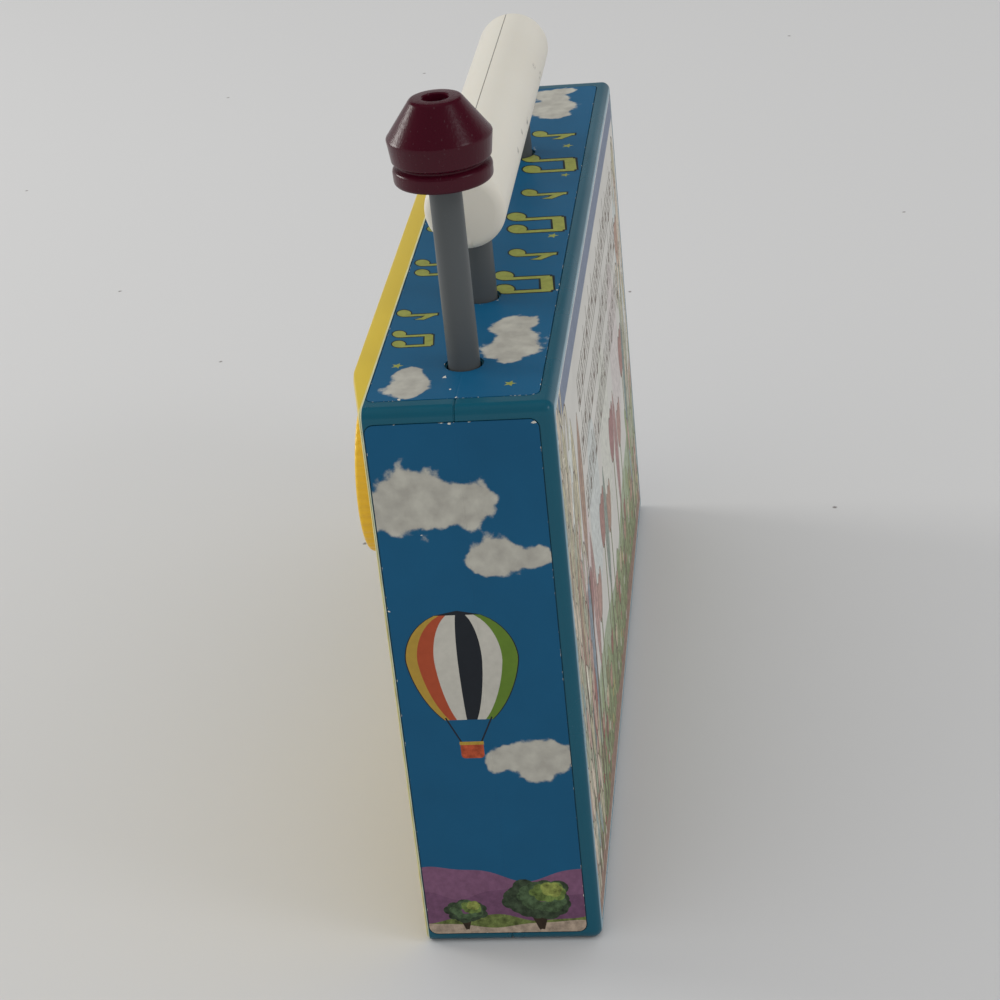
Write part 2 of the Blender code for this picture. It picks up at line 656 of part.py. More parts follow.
def label_outlines(gap):
    """The outlines of the top and end labels, or with a gap those of their pockets."""
    front = FRONT_Y + LABEL_FRONT_BORDER
    rear = BACK_Y - LABEL_REAR_BORDER
    low = END_LABEL_LOW_BORDER
    high = CASE_HEIGHT - END_LABEL_HIGH_BORDER
    middle_y = (front + rear) / 2
    depth = rear - front + 2 * gap
    length = CASE_LENGTH - 2 * TOP_LABEL_END_BORDER + 2 * gap
    radius = LABEL_CORNER_RADIUS + gap
    top = rounded_rectangle((0, middle_y), length, depth, radius)
    end = rounded_rectangle((middle_y, (low + high) / 2), depth, high - low + 2 * gap, radius)
    return top, end


def case_body(name, low, high, cavity_low, cavity_high):
    """One half of the case: a round-cornered box, hollowed from the joint."""
    bm = bmesh.new()
    outline = rounded_rectangle((0, CASE_MID_Z), CASE_LENGTH, CASE_HEIGHT, CORNER_RADIUS)
    extrude(bm, outline, low, high, "y")
    if high > SEAM_Y:
        rear_edges = [e for e in bm.edges if all(abs(v.co.y - high) < SEAM_GAP for v in e.verts)]
        bmesh.ops.bevel(
            bm,
            geom=rear_edges,
            offset=REAR_EDGE_RADIUS,
            segments=FILLET_STEPS,
            profile=0.5,
            affect="EDGES",
        )
    half = piece(name, bm, TEAL_PLASTIC)
    cavity = bmesh.new()
    inner = rounded_rectangle(
        (0, CASE_MID_Z),
        CASE_LENGTH - 2 * CASE_WALL,
        CASE_HEIGHT - 2 * CASE_WALL,
        CORNER_RADIUS - CASE_WALL / 2,
    )
    extrude(cavity, inner, cavity_low, cavity_high, "y")
    shape_by(half, cavity, "DIFFERENCE")
    return half


def peg_places():
    across = HALF_LENGTH - PEG_INSET
    upward = CASE_HEIGHT / 2 - PEG_INSET
    return [(sx * across, CASE_MID_Z + sz * upward) for sx in (-1, 1) for sz in (-1, 1)]


def hanging_blocks(bm, low, high):
    """The blocks under the top wall that hold the posts and guide the mast."""
    blocks = [(MAST_X, GUIDE_BLOCK_LENGTH, GUIDE_BLOCK_HEIGHT)]
    for side in (-1, 1):
        blocks.append((side * POST_SPACING / 2, SOCKET_BLOCK_LENGTH, SOCKET_BLOCK_HEIGHT))
    for x, length, height in blocks:
        corner_low = (x - length / 2, low, INNER_TOP_Z - height)
        block(bm, corner_low, (x + length / 2, high, INNER_TOP_Z + OVERRUN))


def cut_top_holes(half):
    """The post pockets and the mast's bore, cut in both halves at the joint."""
    holes = bmesh.new()
    pocket = post_profile(POST_HOLE_GAP)
    for side in (-1, 1):
        turned(holes, pocket, (side * POST_SPACING / 2, SEAM_Y), "z", ROUND_STEPS)
    bore = MAST_DIAMETER / 2 + MAST_HOLE_GAP
    low = INNER_TOP_Z - GUIDE_BLOCK_HEIGHT - OVERRUN
    cylinder(holes, (MAST_X, SEAM_Y), bore, low, CASE_HEIGHT + OVERRUN, "z", ROUND_STEPS)
    shape_by(half, holes, "DIFFERENCE")


def cut_label_pockets(half):
    top, end = label_outlines(LABEL_EDGE_GAP)
    pockets = bmesh.new()
    extrude(pockets, top, CASE_HEIGHT - LABEL_POCKET, CASE_HEIGHT + OVERRUN, "z")
    for side in (-1, 1):
        levels = sorted((side * (HALF_LENGTH - LABEL_POCKET), side * (HALF_LENGTH + OVERRUN)))
        extrude(pockets, end, *levels, "x")
    shape_by(half, pockets, "DIFFERENCE")


def bearing_blocks():
    """Roller bearings: axis, lower face and whether it stands under its roller."""
    low = FEED_LOW_Z - SEAT_GAP - BEARING_THICKNESS
    left_low = BELT_LOW_Z - SEAT_GAP - BEARING_THICKNESS
    high = BELT_HIGH_Z + SEAT_GAP
    return [
        (ROLLER_RIGHT_X, low),
        (ROLLER_RIGHT_X, high),
        (ROLLER_LEFT_X, left_low),
        (ROLLER_LEFT_X, high),
    ]


def keyhole(centre, radius, mouth, reach):
    """A round seat with a narrower mouth that the shaft snaps past."""
    half = math.asin(mouth / radius)
    start = math.pi / 2 + half
    sweep = math.tau - 2 * half
    steps = range(BORE_STEPS + 1)
    outline = [polar(centre, radius, start + sweep * i / BORE_STEPS) for i in steps]
    outline.append((centre[0] + mouth, centre[1] + reach))
    outline.append((centre[0] - mouth, centre[1] + reach))
    return outline


def plate_screw_places():
    left = PLATE_LEFT_X + SCREW_INSET
    right = PLATE_RIGHT_X - SCREW_INSET
    low = FOOT_EAR_HIGH_Z + SCREW_INSET
    high = PLATE_TOP_Z - SCREW_INSET
    return [(left, low), (right, low), (left, high), (right, high)]


def slot_places():
    return [(DIAL_CENTRE_X, SLOT_LOWEST_Z + SLOT_PITCH * i) for i in range(SLOT_COUNT)]


def grille_outline(border):
    """The outline of the field of sound slots, with a border round it."""
    middle = SLOT_LOWEST_Z + SLOT_PITCH * (SLOT_COUNT - 1) / 2
    height = SLOT_PITCH * (SLOT_COUNT - 1) + SLOT_HEIGHT + 2 * border
    width = SLOT_WIDTH + 2 * border
    return rounded_rectangle((DIAL_CENTRE_X, middle), width, height, SLOT_HEIGHT / 2, 2)


def make_front_shell():
    shell = case_body("front_shell", FRONT_Y, FRONT_HALF_Y, INNER_FRONT_Y, SEAM_Y + OVERRUN)
    inside = bmesh.new()
    rooted = INNER_FRONT_Y - OVERRUN
    boss = PEG_BOSS_DIAMETER / 2
    peg = PEG_DIAMETER / 2
    tip = REAR_HALF_Y + PEG_LENGTH
    profile = [
        (0, rooted),
        (boss, rooted),
        (boss, FRONT_HALF_Y),
        (peg, FRONT_HALF_Y),
        (peg, tip),
        (0, tip),
    ]
    for place in peg_places():
        turned(inside, profile, place, "y", BORE_STEPS)
    head = PLATE_FRONT_Y - SEAT_GAP
    for place in plate_screw_places():
        cylinder(inside, place, BOSS_DIAMETER / 2, rooted, head, "y", BORE_STEPS)
    for x, low in bearing_blocks():
        far = ROLLER_Y + ROLLER_ARBOR_DIAMETER
        corner = (x + BEARING_HALF_WIDTH, far, low + BEARING_THICKNESS)
        block(inside, (x - BEARING_HALF_WIDTH, rooted, low), corner)
    hanging_blocks(inside, SEAM_Y - SOCKET_BLOCK_DEPTH, FRONT_HALF_Y)
    shape_by(shell, inside, "UNION")
    cut_top_holes(shell)
    cut_label_pockets(shell)
    openings = bmesh.new()
    low = FRONT_Y - OVERRUN
    high = INNER_FRONT_Y + OVERRUN / 2
    extrude(openings, screen_outline(SEAT_GAP, SCREEN_CORNER_RADIUS), low, high, "y")
    arbor_hole = ARBOR_DIAMETER / 2 + 2 * RUN_GAP
    dial_centre = (DIAL_CENTRE_X, DIAL_CENTRE_Z)
    cylinder(openings, dial_centre, arbor_hole, low, high, "y", BORE_STEPS)
    pilot = SCREW_SHANK_DIAMETER / 2 + SEAT_GAP
    for place in plate_screw_places():
        deep = PLATE_BACK_Y - SCREW_DEPTH - SEAT_GAP
        cylinder(openings, place, pilot, deep, PLATE_FRONT_Y, "y", BORE_STEPS)
    seat = ROLLER_ARBOR_DIAMETER / 2 + RUN_GAP
    reach = ROLLER_ARBOR_DIAMETER + OVERRUN
    past = OVERRUN / 4
    for x, low_z in bearing_blocks():
        outline = keyhole((x, ROLLER_Y), seat, BEARING_MOUTH / 2, reach)
        extrude(openings, outline, low_z - past, low_z + BEARING_THICKNESS + past, "z")
    extrude(openings, grille_outline(0), low, high, "y")
    shape_by(shell, openings, "DIFFERENCE")


def make_rear_shell():
    shell = case_body("rear_shell", REAR_HALF_Y, BACK_Y, SEAM_Y - OVERRUN, INNER_BACK_Y)
    inside = bmesh.new()
    rooted = INNER_BACK_Y + OVERRUN
    for place in peg_places():
        cylinder(inside, place, PEG_BOSS_DIAMETER / 2, REAR_HALF_Y, rooted, "y", BORE_STEPS)
    hanging_blocks(inside, REAR_HALF_Y, SEAM_Y + SOCKET_BLOCK_DEPTH)
    shape_by(shell, inside, "UNION")
    cut_top_holes(shell)
    cut_label_pockets(shell)
    sockets = bmesh.new()
    socket = PEG_DIAMETER / 2 + SEAT_GAP
    for place in peg_places():
        deep = REAR_HALF_Y + PEG_LENGTH + SEAT_GAP
        cylinder(sockets, place, socket, SEAM_Y - OVERRUN, deep, "y", BORE_STEPS)
    extrude(sockets, panel_outline(LABEL_EDGE_GAP), BACK_Y - PANEL_POCKET, BACK_Y + OVERRUN, "y")
    shape_by(shell, sockets, "DIFFERENCE")


def panel_outline(gap):
    width = CASE_LENGTH - 2 * PANEL_BORDER + 2 * gap
    height = CASE_HEIGHT - 2 * PANEL_BORDER + 2 * gap
    return rounded_rectangle((0, CASE_MID_Z), width, height, PANEL_CORNER_RADIUS + gap)


def make_back_panel():
    bm = bmesh.new()
    front = BACK_Y - PANEL_POCKET + LABEL_BED_GAP
    extrude(bm, panel_outline(0), front, front + PANEL_THICKNESS, "y")
    piece("back_panel", bm, PRINTED_BACK)


def make_labels():
    top, end = label_outlines(0)
    bed = CASE_HEIGHT - LABEL_POCKET + LABEL_BED_GAP
    holes = [((side * POST_SPACING / 2, SEAM_Y), POST_DIAMETER) for side in (-1, 1)]
    holes.append(((MAST_X, SEAM_Y), MAST_DIAMETER))
    rings = []
    for centre, diameter in holes:
        rings.append(circle(centre, diameter / 2 + LABEL_HOLE_GAP, ROUND_STEPS))
    bm = bmesh.new()
    extrude(bm, top, bed, bed + LABEL_THICKNESS, "z", rings)
    piece("top_label", bm, PRINTED_PAPER)
    bed = HALF_LENGTH - LABEL_POCKET + LABEL_BED_GAP
    for name, side in (("left_end_label", -1), ("right_end_label", 1)):
        bm = bmesh.new()
        extrude(bm, end, *sorted((side * bed, side * (bed + LABEL_THICKNESS))), "x")
        piece(name, bm, PRINTED_PAPER)


# The front moulding and its screen


def bezel_outline(side_inset, foot_inset, head_inset, radius):
    left = -HALF_LENGTH + BEZEL_BORDER + side_inset
    low = BEZEL_BORDER + foot_inset
    high = CASE_HEIGHT - BEZEL_BORDER - head_inset
    return rounded_rectangle((0, (low + high) / 2), -2 * left, high - low, radius)


def hollow_inset(run, y):
    """How far inside the rim the underside of a sloping border lies at a given depth."""
    rise = BEZEL_RIM_Y - PLATEAU_Y
    wall = BEZEL_WALL * math.hypot(run, rise) / rise
    return run * (BEZEL_RIM_Y - y) / rise + wall


def make_front_bezel():
    """The hollow yellow moulding: a raised face whose borders slope to the case's edge."""
    bm = bmesh.new()
    rim = bezel_outline(0, 0, 0, BEZEL_CORNER_RADIUS)
    plateau = bezel_outline(BEZEL_SLOPE_WIDTH, BEZEL_FOOT_SLOPE, 0, BEZEL_CORNER_RADIUS)
    loft(bm, [(BEZEL_BACK_Y, rim), (BEZEL_RIM_Y, rim), (PLATEAU_Y, plateau)], "y")
    bezel = piece("front_bezel", bm, YELLOW_PLASTIC)
    hollow = bmesh.new()
    levels = []
    for y in (PLATEAU_Y + BEZEL_WALL, BEZEL_BACK_Y + OVERRUN):
        side = hollow_inset(BEZEL_SLOPE_WIDTH, y)
        foot = hollow_inset(BEZEL_FOOT_SLOPE, y)
        levels.append((y, bezel_outline(side, foot, BEZEL_WALL, BEZEL_CORNER_RADIUS)))
    loft(hollow, levels, "y")
    shape_by(bezel, hollow, "DIFFERENCE")
    shape_by(bezel, bezel_walls(), "UNION")
    shape_by(bezel, bezel_openings(), "DIFFERENCE")


def screen_outline(border, radius):
    """The screen's outline, grown by a border."""
    centre = (SCREEN_CENTRE_X, SCREEN_CENTRE_Z)
    return rounded_rectangle(centre, SCREEN_WIDTH + 2 * border, SCREEN_HEIGHT + 2 * border, radius)


def bezel_walls():
    """The walls behind the face, round the screen, the dial and the sound slots."""
    walls = bmesh.new()
    skin = PLATEAU_Y + BEZEL_WALL / 2
    frame = screen_outline(PANE_LAP + SEAT_GAP + BEZEL_WALL, SCREEN_CORNER_RADIUS)
    extrude(walls, frame, skin, BEZEL_BACK_Y, "y")
    dial_centre = (DIAL_CENTRE_X, DIAL_CENTRE_Z)
    round_wall = DIAL_DIAMETER / 2 + DIAL_RECESS_GAP + BEZEL_WALL
    cylinder(walls, dial_centre, round_wall, skin, BEZEL_BACK_Y, "y", DIAL_STEPS)
    extrude(walls, grille_outline(BEZEL_WALL), skin, BEZEL_BACK_Y, "y")
    return walls


def bezel_openings():
    """The flared screen opening with its rebate, the dial's recess and the sound slots."""
    openings = bmesh.new()
    behind = BEZEL_BACK_Y + OVERRUN
    ahead = PLATEAU_Y - OVERRUN
    pane_seat = PANE_FRONT_Y - SEAT_GAP
    flare = SCREEN_BEVEL * (pane_seat - ahead) / (pane_seat - PLATEAU_Y)
    mouth = screen_outline(flare, SCREEN_CORNER_RADIUS + flare)
    throat = screen_outline(0, SCREEN_CORNER_RADIUS)
    rebate = screen_outline(PANE_LAP + SEAT_GAP, SCREEN_CORNER_RADIUS)
    levels = [(ahead, mouth), (pane_seat, throat), (pane_seat, rebate), (behind, rebate)]
    loft(openings, levels, "y")
    recess = DIAL_DIAMETER / 2 + DIAL_RECESS_GAP
    floor = DIAL_BACK_Y + RUN_GAP
    hole = ARBOR_DIAMETER / 2 + 2 * RUN_GAP
    profile = [(0, ahead), (recess, ahead), (recess, floor), (hole, floor), (hole, behind), (0, behind)]
    turned(openings, profile, (DIAL_CENTRE_X, DIAL_CENTRE_Z), "y", DIAL_STEPS)
    for place in slot_places():
        slot = rounded_rectangle(place, SLOT_WIDTH, SLOT_HEIGHT, SLOT_HEIGHT / 2, 2)
        extrude(openings, slot, ahead, behind, "y")
    return openings


def make_screen_pane():
    bm = bmesh.new()
    pane = screen_outline(PANE_LAP, SCREEN_CORNER_RADIUS - SEAT_GAP)
    extrude(bm, pane, PANE_FRONT_Y, PANE_BACK_Y, "y")
    piece("screen_pane", bm, CLEAR_PANE)


# The handle and the antenna


def make_handle():
    radius = GRIP_DIAMETER / 2
    half = GRIP_LENGTH / 2
    end = []
    for i in range(FILLET_STEPS + 1):
        angle = math.pi / 2 * (1 - i / FILLET_STEPS)
        across = radius - GRIP_FILLET + GRIP_FILLET * math.cos(angle)
        along = half - GRIP_CROWN - GRIP_FILLET + GRIP_FILLET * math.sin(angle)
        end.append((across, along))
    profile = [(0, half), *end, *[(r, -h) for r, h in reversed(end)], (0, -half)]
    bm = bmesh.new()
    turned(bm, profile, (SEAM_Y, GRIP_Z), "x", DIAL_STEPS)
    grip = piece("handle_grip", bm, IVORY_PLASTIC)
    sockets = bmesh.new()
    for name, side in (("handle_post_left", -1), ("handle_post_right", 1)):
        centre = (side * POST_SPACING / 2, SEAM_Y)
        deep = GRIP_Z + SOCKET_PAST_AXIS + SEAT_GAP
        low = GRIP_Z - radius - OVERRUN
        cylinder(sockets, centre, POST_DIAMETER / 2 + SEAT_GAP, low, deep, "z", ROUND_STEPS)
        post = bmesh.new()
        turned(post, post_profile(0), centre, "z", ROUND_STEPS)
        piece(name, post, GREY_PLASTIC)
    shape_by(grip, sockets, "DIFFERENCE")


def make_antenna(carrier):
    centre = (MAST_X, SEAM_Y)
    radius = MAST_DIAMETER / 2
    neck = MAST_NECK_DIAMETER / 2
    spigot = MAST_SPIGOT_DIAMETER / 2
    collar_top = INNER_TOP_Z - GUIDE_BLOCK_HEIGHT - RUN_GAP
    collar_low = collar_top - COLLAR_THICKNESS
    shoulder = KNOB_LOW_Z - SEAT_GAP
    spigot_top = KNOB_LOW_Z + MAST_SPIGOT_LENGTH
    profile = [
        (0, collar_low - MAST_TAIL),
        (neck, collar_low - MAST_TAIL),
        (neck, collar_top),
        (radius, collar_top),
        (radius, shoulder),
        (spigot, shoulder),
        (spigot, spigot_top),
        (0, spigot_top),
    ]
    bm = bmesh.new()
    turned(bm, profile, centre, "z", ROUND_STEPS)
    piece("antenna_mast", bm, GREY_PLASTIC, carrier)

    inner = neck + SEAT_GAP
    outer = COLLAR_DIAMETER / 2
    high = collar_top - SEAT_GAP
    profile = [(inner, collar_low), (outer, collar_low), (outer, high), (inner, high)]
    bm = bmesh.new()
    turned(bm, profile, centre, "z", ROUND_STEPS)
    piece("antenna_stop_collar", bm, STEEL, carrier)

    wide = KNOB_DIAMETER / 2
    band = wide - KNOB_BAND_TAPER
    socket = spigot + SEAT_GAP
    flat = KNOB_FLAT_DIAMETER / 2
    bore = KNOB_BORE_DIAMETER / 2
    band_top = KNOB_LOW_Z + KNOB_LOWER_BAND
    groove_middle = band_top + KNOB_GROOVE_WIDTH / 2
    groove_top = band_top + KNOB_GROOVE_WIDTH
    widest = groove_top + KNOB_UPPER_BAND
    top = KNOB_LOW_Z + KNOB_HEIGHT
    profile = [
        (0, spigot_top + SEAT_GAP),
        (socket, spigot_top + SEAT_GAP),
        (socket, KNOB_LOW_Z),
        (band - KNOB_EDGE, KNOB_LOW_Z),
        (band, KNOB_LOW_Z + KNOB_EDGE),
        (band, band_top),
        (band - KNOB_GROOVE_DEPTH, groove_middle),
        (band, groove_top),
        (wide, widest - KNOB_EDGE),
        (wide - KNOB_EDGE / 2, widest + KNOB_EDGE / 2),
        (flat, top),
        (bore, top),
        (bore, top - KNOB_BORE_DEPTH),
        (0, top - KNOB_BORE_DEPTH),
    ]
    bm = bmesh.new()
    turned(bm, profile, centre, "z", DIAL_STEPS)
    piece("antenna_knob", bm, MAROON_PLASTIC, carrier)


# The dial and what turns with it


def ribbed_circle(centre, radius):
    outline = []
    for rib in range(DIAL_RIB_COUNT):
        outline.append(polar(centre, radius, math.tau * rib / DIAL_RIB_COUNT))
        valley = math.tau * (rib + 1 / 2) / DIAL_RIB_COUNT
        outline.append(polar(centre, radius - DIAL_RIB_DEPTH, valley))
    return outline


def scoop_outline(centre, radius, side):
    """The part of a circle beyond the finger bar on one side."""
    reach = math.acos(DIAL_BAR_WIDTH / 2 / radius)
    middle = 0 if side > 0 else math.pi
    turns = [middle - reach + 2 * reach * i / BORE_STEPS for i in range(BORE_STEPS + 1)]
    return [polar(centre, radius, turn) for turn in turns]


def make_dial(carrier):
    centre = (DIAL_CENTRE_X, DIAL_CENTRE_Z)
    radius = DIAL_DIAMETER / 2
    bm = bmesh.new()
    face = ribbed_circle(centre, radius - DIAL_CHAMFER)
    rim = ribbed_circle(centre, radius)
    loft(bm, [(DIAL_FACE_Y, face), (DIAL_FACE_Y + DIAL_CHAMFER, rim), (DIAL_BACK_Y, rim)], "y")
    knob = piece("winding_dial", bm, YELLOW_PLASTIC, carrier)
    cuts = bmesh.new()
    for side in (-1, 1):
        outline = scoop_outline(centre, radius - DIAL_SCOOP_BORDER, side)
        extrude(cuts, outline, DIAL_FACE_Y - OVERRUN, DIAL_FACE_Y + DIAL_SCOOP_DEPTH, "y")
    bore = ARBOR_DIAMETER / 2 + SEAT_GAP
    cylinder(cuts, centre, bore, DIAL_BACK_Y - ARBOR_GRIP, DIAL_BACK_Y + OVERRUN, "y", BORE_STEPS)
    shape_by(knob, cuts, "DIFFERENCE")

    bm = bmesh.new()
    front = DIAL_BACK_Y - ARBOR_GRIP + SEAT_GAP
    cylinder(bm, centre, ARBOR_DIAMETER / 2, front, CLIP_BACK_Y + SEAT_GAP, "y", BORE_STEPS)
    piece("winding_arbor", bm, STEEL, carrier)

    bm = bmesh.new()
    clip = circle(centre, CLIP_DIAMETER / 2, BORE_STEPS)
    extrude(bm, clip, CLIP_FRONT_Y, CLIP_BACK_Y, "y", [circle(centre, bore, BORE_STEPS)])
    piece("arbor_clip", bm, STEEL, carrier)


def make_ratchet(carrier):
    """The crown wheel, and the ratchet and click that let the spring be wound alone."""
    centre = (DIAL_CENTRE_X, DIAL_CENTRE_Z)
    pin = CLICK_PIN_DIAMETER / 2
    root = RATCHET_RADIUS - RATCHET_STEP
    held_tooth = math.tau * CLICK_TOOTH / RATCHET_TEETH
    pivot = Vector(polar(centre, CLICK_REACH, held_tooth + CLICK_LEAD))
    beak = Vector(polar(centre, root + 2 * SEAT_GAP, held_tooth + SEAT_GAP / root))

    bore = ARBOR_DIAMETER / 2 + SEAT_GAP
    rim = CROWN_RADIUS + PINION_WIDTH / 2 + CROWN_RIM
    profile = [(bore, CROWN_ROOT_Y), (rim, CROWN_ROOT_Y), (rim, CROWN_BACK_Y), (bore, CROWN_BACK_Y)]
    bm = bmesh.new()
    turned(bm, profile, centre, "y", DIAL_STEPS)
    crown = piece("crown_wheel", bm, BRASS, carrier)
    shape_by(crown, crown_teeth(centre), "UNION")
    hole = bmesh.new()
    low = CROWN_ROOT_Y - OVERRUN
    cylinder(hole, pivot, pin + RUN_GAP, low, CROWN_BACK_Y + OVERRUN, "y", BORE_STEPS)
    shape_by(crown, hole, "DIFFERENCE")

    outline = []
    rise = math.tau / RATCHET_TEETH * RATCHET_RISE_SHARE
    for tooth in range(RATCHET_TEETH):
        start = math.tau * tooth / RATCHET_TEETH
        outline.append(polar(centre, root, start))
        outline.append(polar(centre, RATCHET_RADIUS, start + rise))
    bm = bmesh.new()
    extrude(bm, outline, RATCHET_FRONT_Y, RATCHET_BACK_Y, "y", [circle(centre, bore, BORE_STEPS)])
    piece("ratchet_wheel", bm, STEEL, carrier)

    along = (beak - pivot).normalized()
    across = Vector((-along.y, along.x)) * CLICK_WIDTH / 2
    heel = pivot - along * CLICK_WIDTH / 2
    outline = [tuple(point) for point in (pivot + across, heel, pivot - across, beak)]
    bm = bmesh.new()
    extrude(bm, outline, RATCHET_FRONT_Y, RATCHET_BACK_Y, "y")
    click = piece("click", bm, STEEL, carrier)
    bm = bmesh.new()
    cylinder(bm, pivot, pin, CROWN_ROOT_Y, RATCHET_FRONT_Y + RATCHET_WIDTH / 2, "y", BORE_STEPS)
    shape_by(click, bm, "UNION")


def crown_teeth(centre):
    """The crown wheel's face teeth, straight-sided and tapering to their tips."""
    outer = CROWN_RADIUS + PINION_WIDTH / 2
    inner = CROWN_RADIUS - PINION_WIDTH / 2
    half = (math.pi * COARSE_MODULE / 2 - GEAR_BACKLASH) / 2
    lean = math.tan(PRESSURE_ANGLE)
    bm = bmesh.new()
    for tooth in range(CROWN_TEETH):
        middle = -math.pi / 2 + math.tau * tooth / CROWN_TEETH
        levels = []
        for level in (CROWN_TIP_Y, (CROWN_ROOT_Y + CROWN_BACK_Y) / 2):
            turn = (half + lean * (level - CROWN_PITCH_Y)) / CROWN_RADIUS
            corners = ((inner, -turn), (outer, -turn), (outer, turn), (inner, turn))
            outline = [polar(centre, radius, middle + angle) for radius, angle in corners]
            levels.append((level, outline))
        loft(bm, levels, "y")
    return bm


# The movement on its bedplate


def make_bedplate():
    holes = [circle((DIAL_CENTRE_X, DIAL_CENTRE_Z), ARBOR_DIAMETER / 2 + RUN_GAP, BORE_STEPS)]
    shank = SCREW_SHANK_DIAMETER / 2 + SEAT_GAP
    for place in plate_screw_places() + bracket_screw_places():
        holes.append(circle(place, shank, BORE_STEPS))
    outline = rounded_rectangle(
        ((PLATE_LEFT_X + PLATE_RIGHT_X) / 2, (FOOT_EAR_LOW_Z + PLATE_TOP_Z) / 2),
        PLATE_RIGHT_X - PLATE_LEFT_X,
        PLATE_TOP_Z - FOOT_EAR_LOW_Z,
        PLATE_CORNER_RADIUS,
    )
    bm = bmesh.new()
    extrude(bm, outline, PLATE_FRONT_Y, PLATE_BACK_Y, "y", holes)
    plate = piece("movement_bedplate", bm, CAST_ZINC)

    ears = bmesh.new()
    rooted = PLATE_BACK_Y - PLATE_THICKNESS / 2
    reach = DRUM_Y + EAR_REACH
    low = (DRUM_X - EAR_HALF_WIDTH, rooted, TOP_EAR_LOW_Z)
    block(ears, low, (DRUM_X + EAR_HALF_WIDTH, reach, TOP_EAR_HIGH_Z))
    low = (TRANSFER_AXIS[0] - EAR_HALF_WIDTH, rooted, FOOT_EAR_LOW_Z)
    block(ears, low, (DRUM_X + EAR_HALF_WIDTH, reach, FOOT_EAR_HIGH_Z))
    low = (COMB_LEFT_X, rooted, COMB_LOW_Z)
    block(ears, low, (COMB_BASE_X, COMB_FRONT_Y - SEAT_GAP, COMB_HIGH_Z))
    shape_by(plate, ears, "UNION")

    pivots = bmesh.new()
    pivot = DRUM_ARBOR_DIAMETER / 2 + RUN_GAP
    ears_z = ((TOP_EAR_LOW_Z, TOP_EAR_HIGH_Z), (FOOT_EAR_LOW_Z, FOOT_EAR_HIGH_Z))
    for low_z, high_z in ears_z:
        cylinder(pivots, DRUM_AXIS, pivot, low_z - OVERRUN, high_z + OVERRUN, "z", BORE_STEPS)
    stud = STUD_DIAMETER / 2 + SEAT_GAP
    low_z = FOOT_EAR_LOW_Z - OVERRUN
    cylinder(pivots, TRANSFER_AXIS, stud, low_z, FOOT_EAR_HIGH_Z + OVERRUN, "z", BORE_STEPS)
    for place in comb_screw_places():
        deep = COMB_BACK_Y - COMB_SCREW_DEPTH - SEAT_GAP
        cylinder(pivots, place, shank, deep, COMB_FRONT_Y, "y", BORE_STEPS)
    shape_by(plate, pivots, "DIFFERENCE")

    for number, place in enumerate(plate_screw_places(), 1):
        screw(f"bedplate_screw_{number}", place, PLATE_BACK_Y, "y", 1)


def comb_screw_places():
    x = COMB_LEFT_X + COMB_BASE_WIDTH / 2
    return [(x, COMB_LOW_Z + SCREW_INSET), (x, COMB_HIGH_Z - SCREW_INSET)]


def make_comb():
    """Steel teeth that grow longer from the high notes to the low ones."""
    outline = [(COMB_LEFT_X, COMB_HIGH_Z), (COMB_LEFT_X, COMB_LOW_Z)]
    for tooth in range(COMB_TEETH):
        share = tooth / (COMB_TEETH - 1)
        length = COMB_TOOTH_LONG + (COMB_TOOTH_SHORT - COMB_TOOTH_LONG) * share
        low = COMB_LOW_Z + COMB_PITCH * tooth + COMB_SLIT / 2
        high = low + COMB_PITCH - COMB_SLIT
        root = COMB_TIP_X - length
        outline += [(root, low), (COMB_TIP_X, low), (COMB_TIP_X, high), (root, high)]
    outline.append((COMB_BASE_X, COMB_HIGH_Z))
    shank = SCREW_SHANK_DIAMETER / 2 + SEAT_GAP
    holes = [circle(place, shank, BORE_STEPS) for place in comb_screw_places()]
    bm = bmesh.new()
    extrude(bm, outline, COMB_FRONT_Y, COMB_BACK_Y, "y", holes)
    piece("tuned_comb", bm, SPRING_STEEL)
    for number, place in enumerate(comb_screw_places(), 1):
        screw(f"comb_screw_{number}", place, COMB_BACK_Y, "y", 1, COMB_SCREW_DEPTH)


def make_spring():
    centre = (DIAL_CENTRE_X, DIAL_CENTRE_Z)
    front = PLATE_BACK_Y + SEAT_GAP
    rear = front + HOUSING_DEPTH
    outer = HOUSING_DIAMETER / 2
    inner = outer - HOUSING_WALL
    hole = ARBOR_DIAMETER / 2 + RUN_GAP
    lid = rear - HOUSING_WALL
    profile = [
        (hole, rear),
        (outer, rear),
        (outer, front),
        (inner, front),
        (inner, lid),
        (hole, lid),
    ]
    bm = bmesh.new()
    turned(bm, profile, centre, "y", ROUND_STEPS)
    piece("spring_housing", bm, CAST_ZINC)

    last = inner - SEAT_GAP - SPRING_THICKNESS / 2
    count = SPRING_TURNS * SPRING_STEPS
    sides = ([], [])
    for i in range(count + 1):
        middle = SPRING_INNER_RADIUS + (last - SPRING_INNER_RADIUS) * i / count
        angle = math.tau * i / SPRING_STEPS
        for side, offset in zip(sides, (SPRING_THICKNESS / 2, -SPRING_THICKNESS / 2)):
            side.append(polar(centre, middle + offset, angle))
    bm = bmesh.new()
    extrude(bm, sides[0] + sides[1][::-1], front + SEAT_GAP, lid - SEAT_GAP, "y")
    piece("mainspring", bm, SPRING_STEEL)


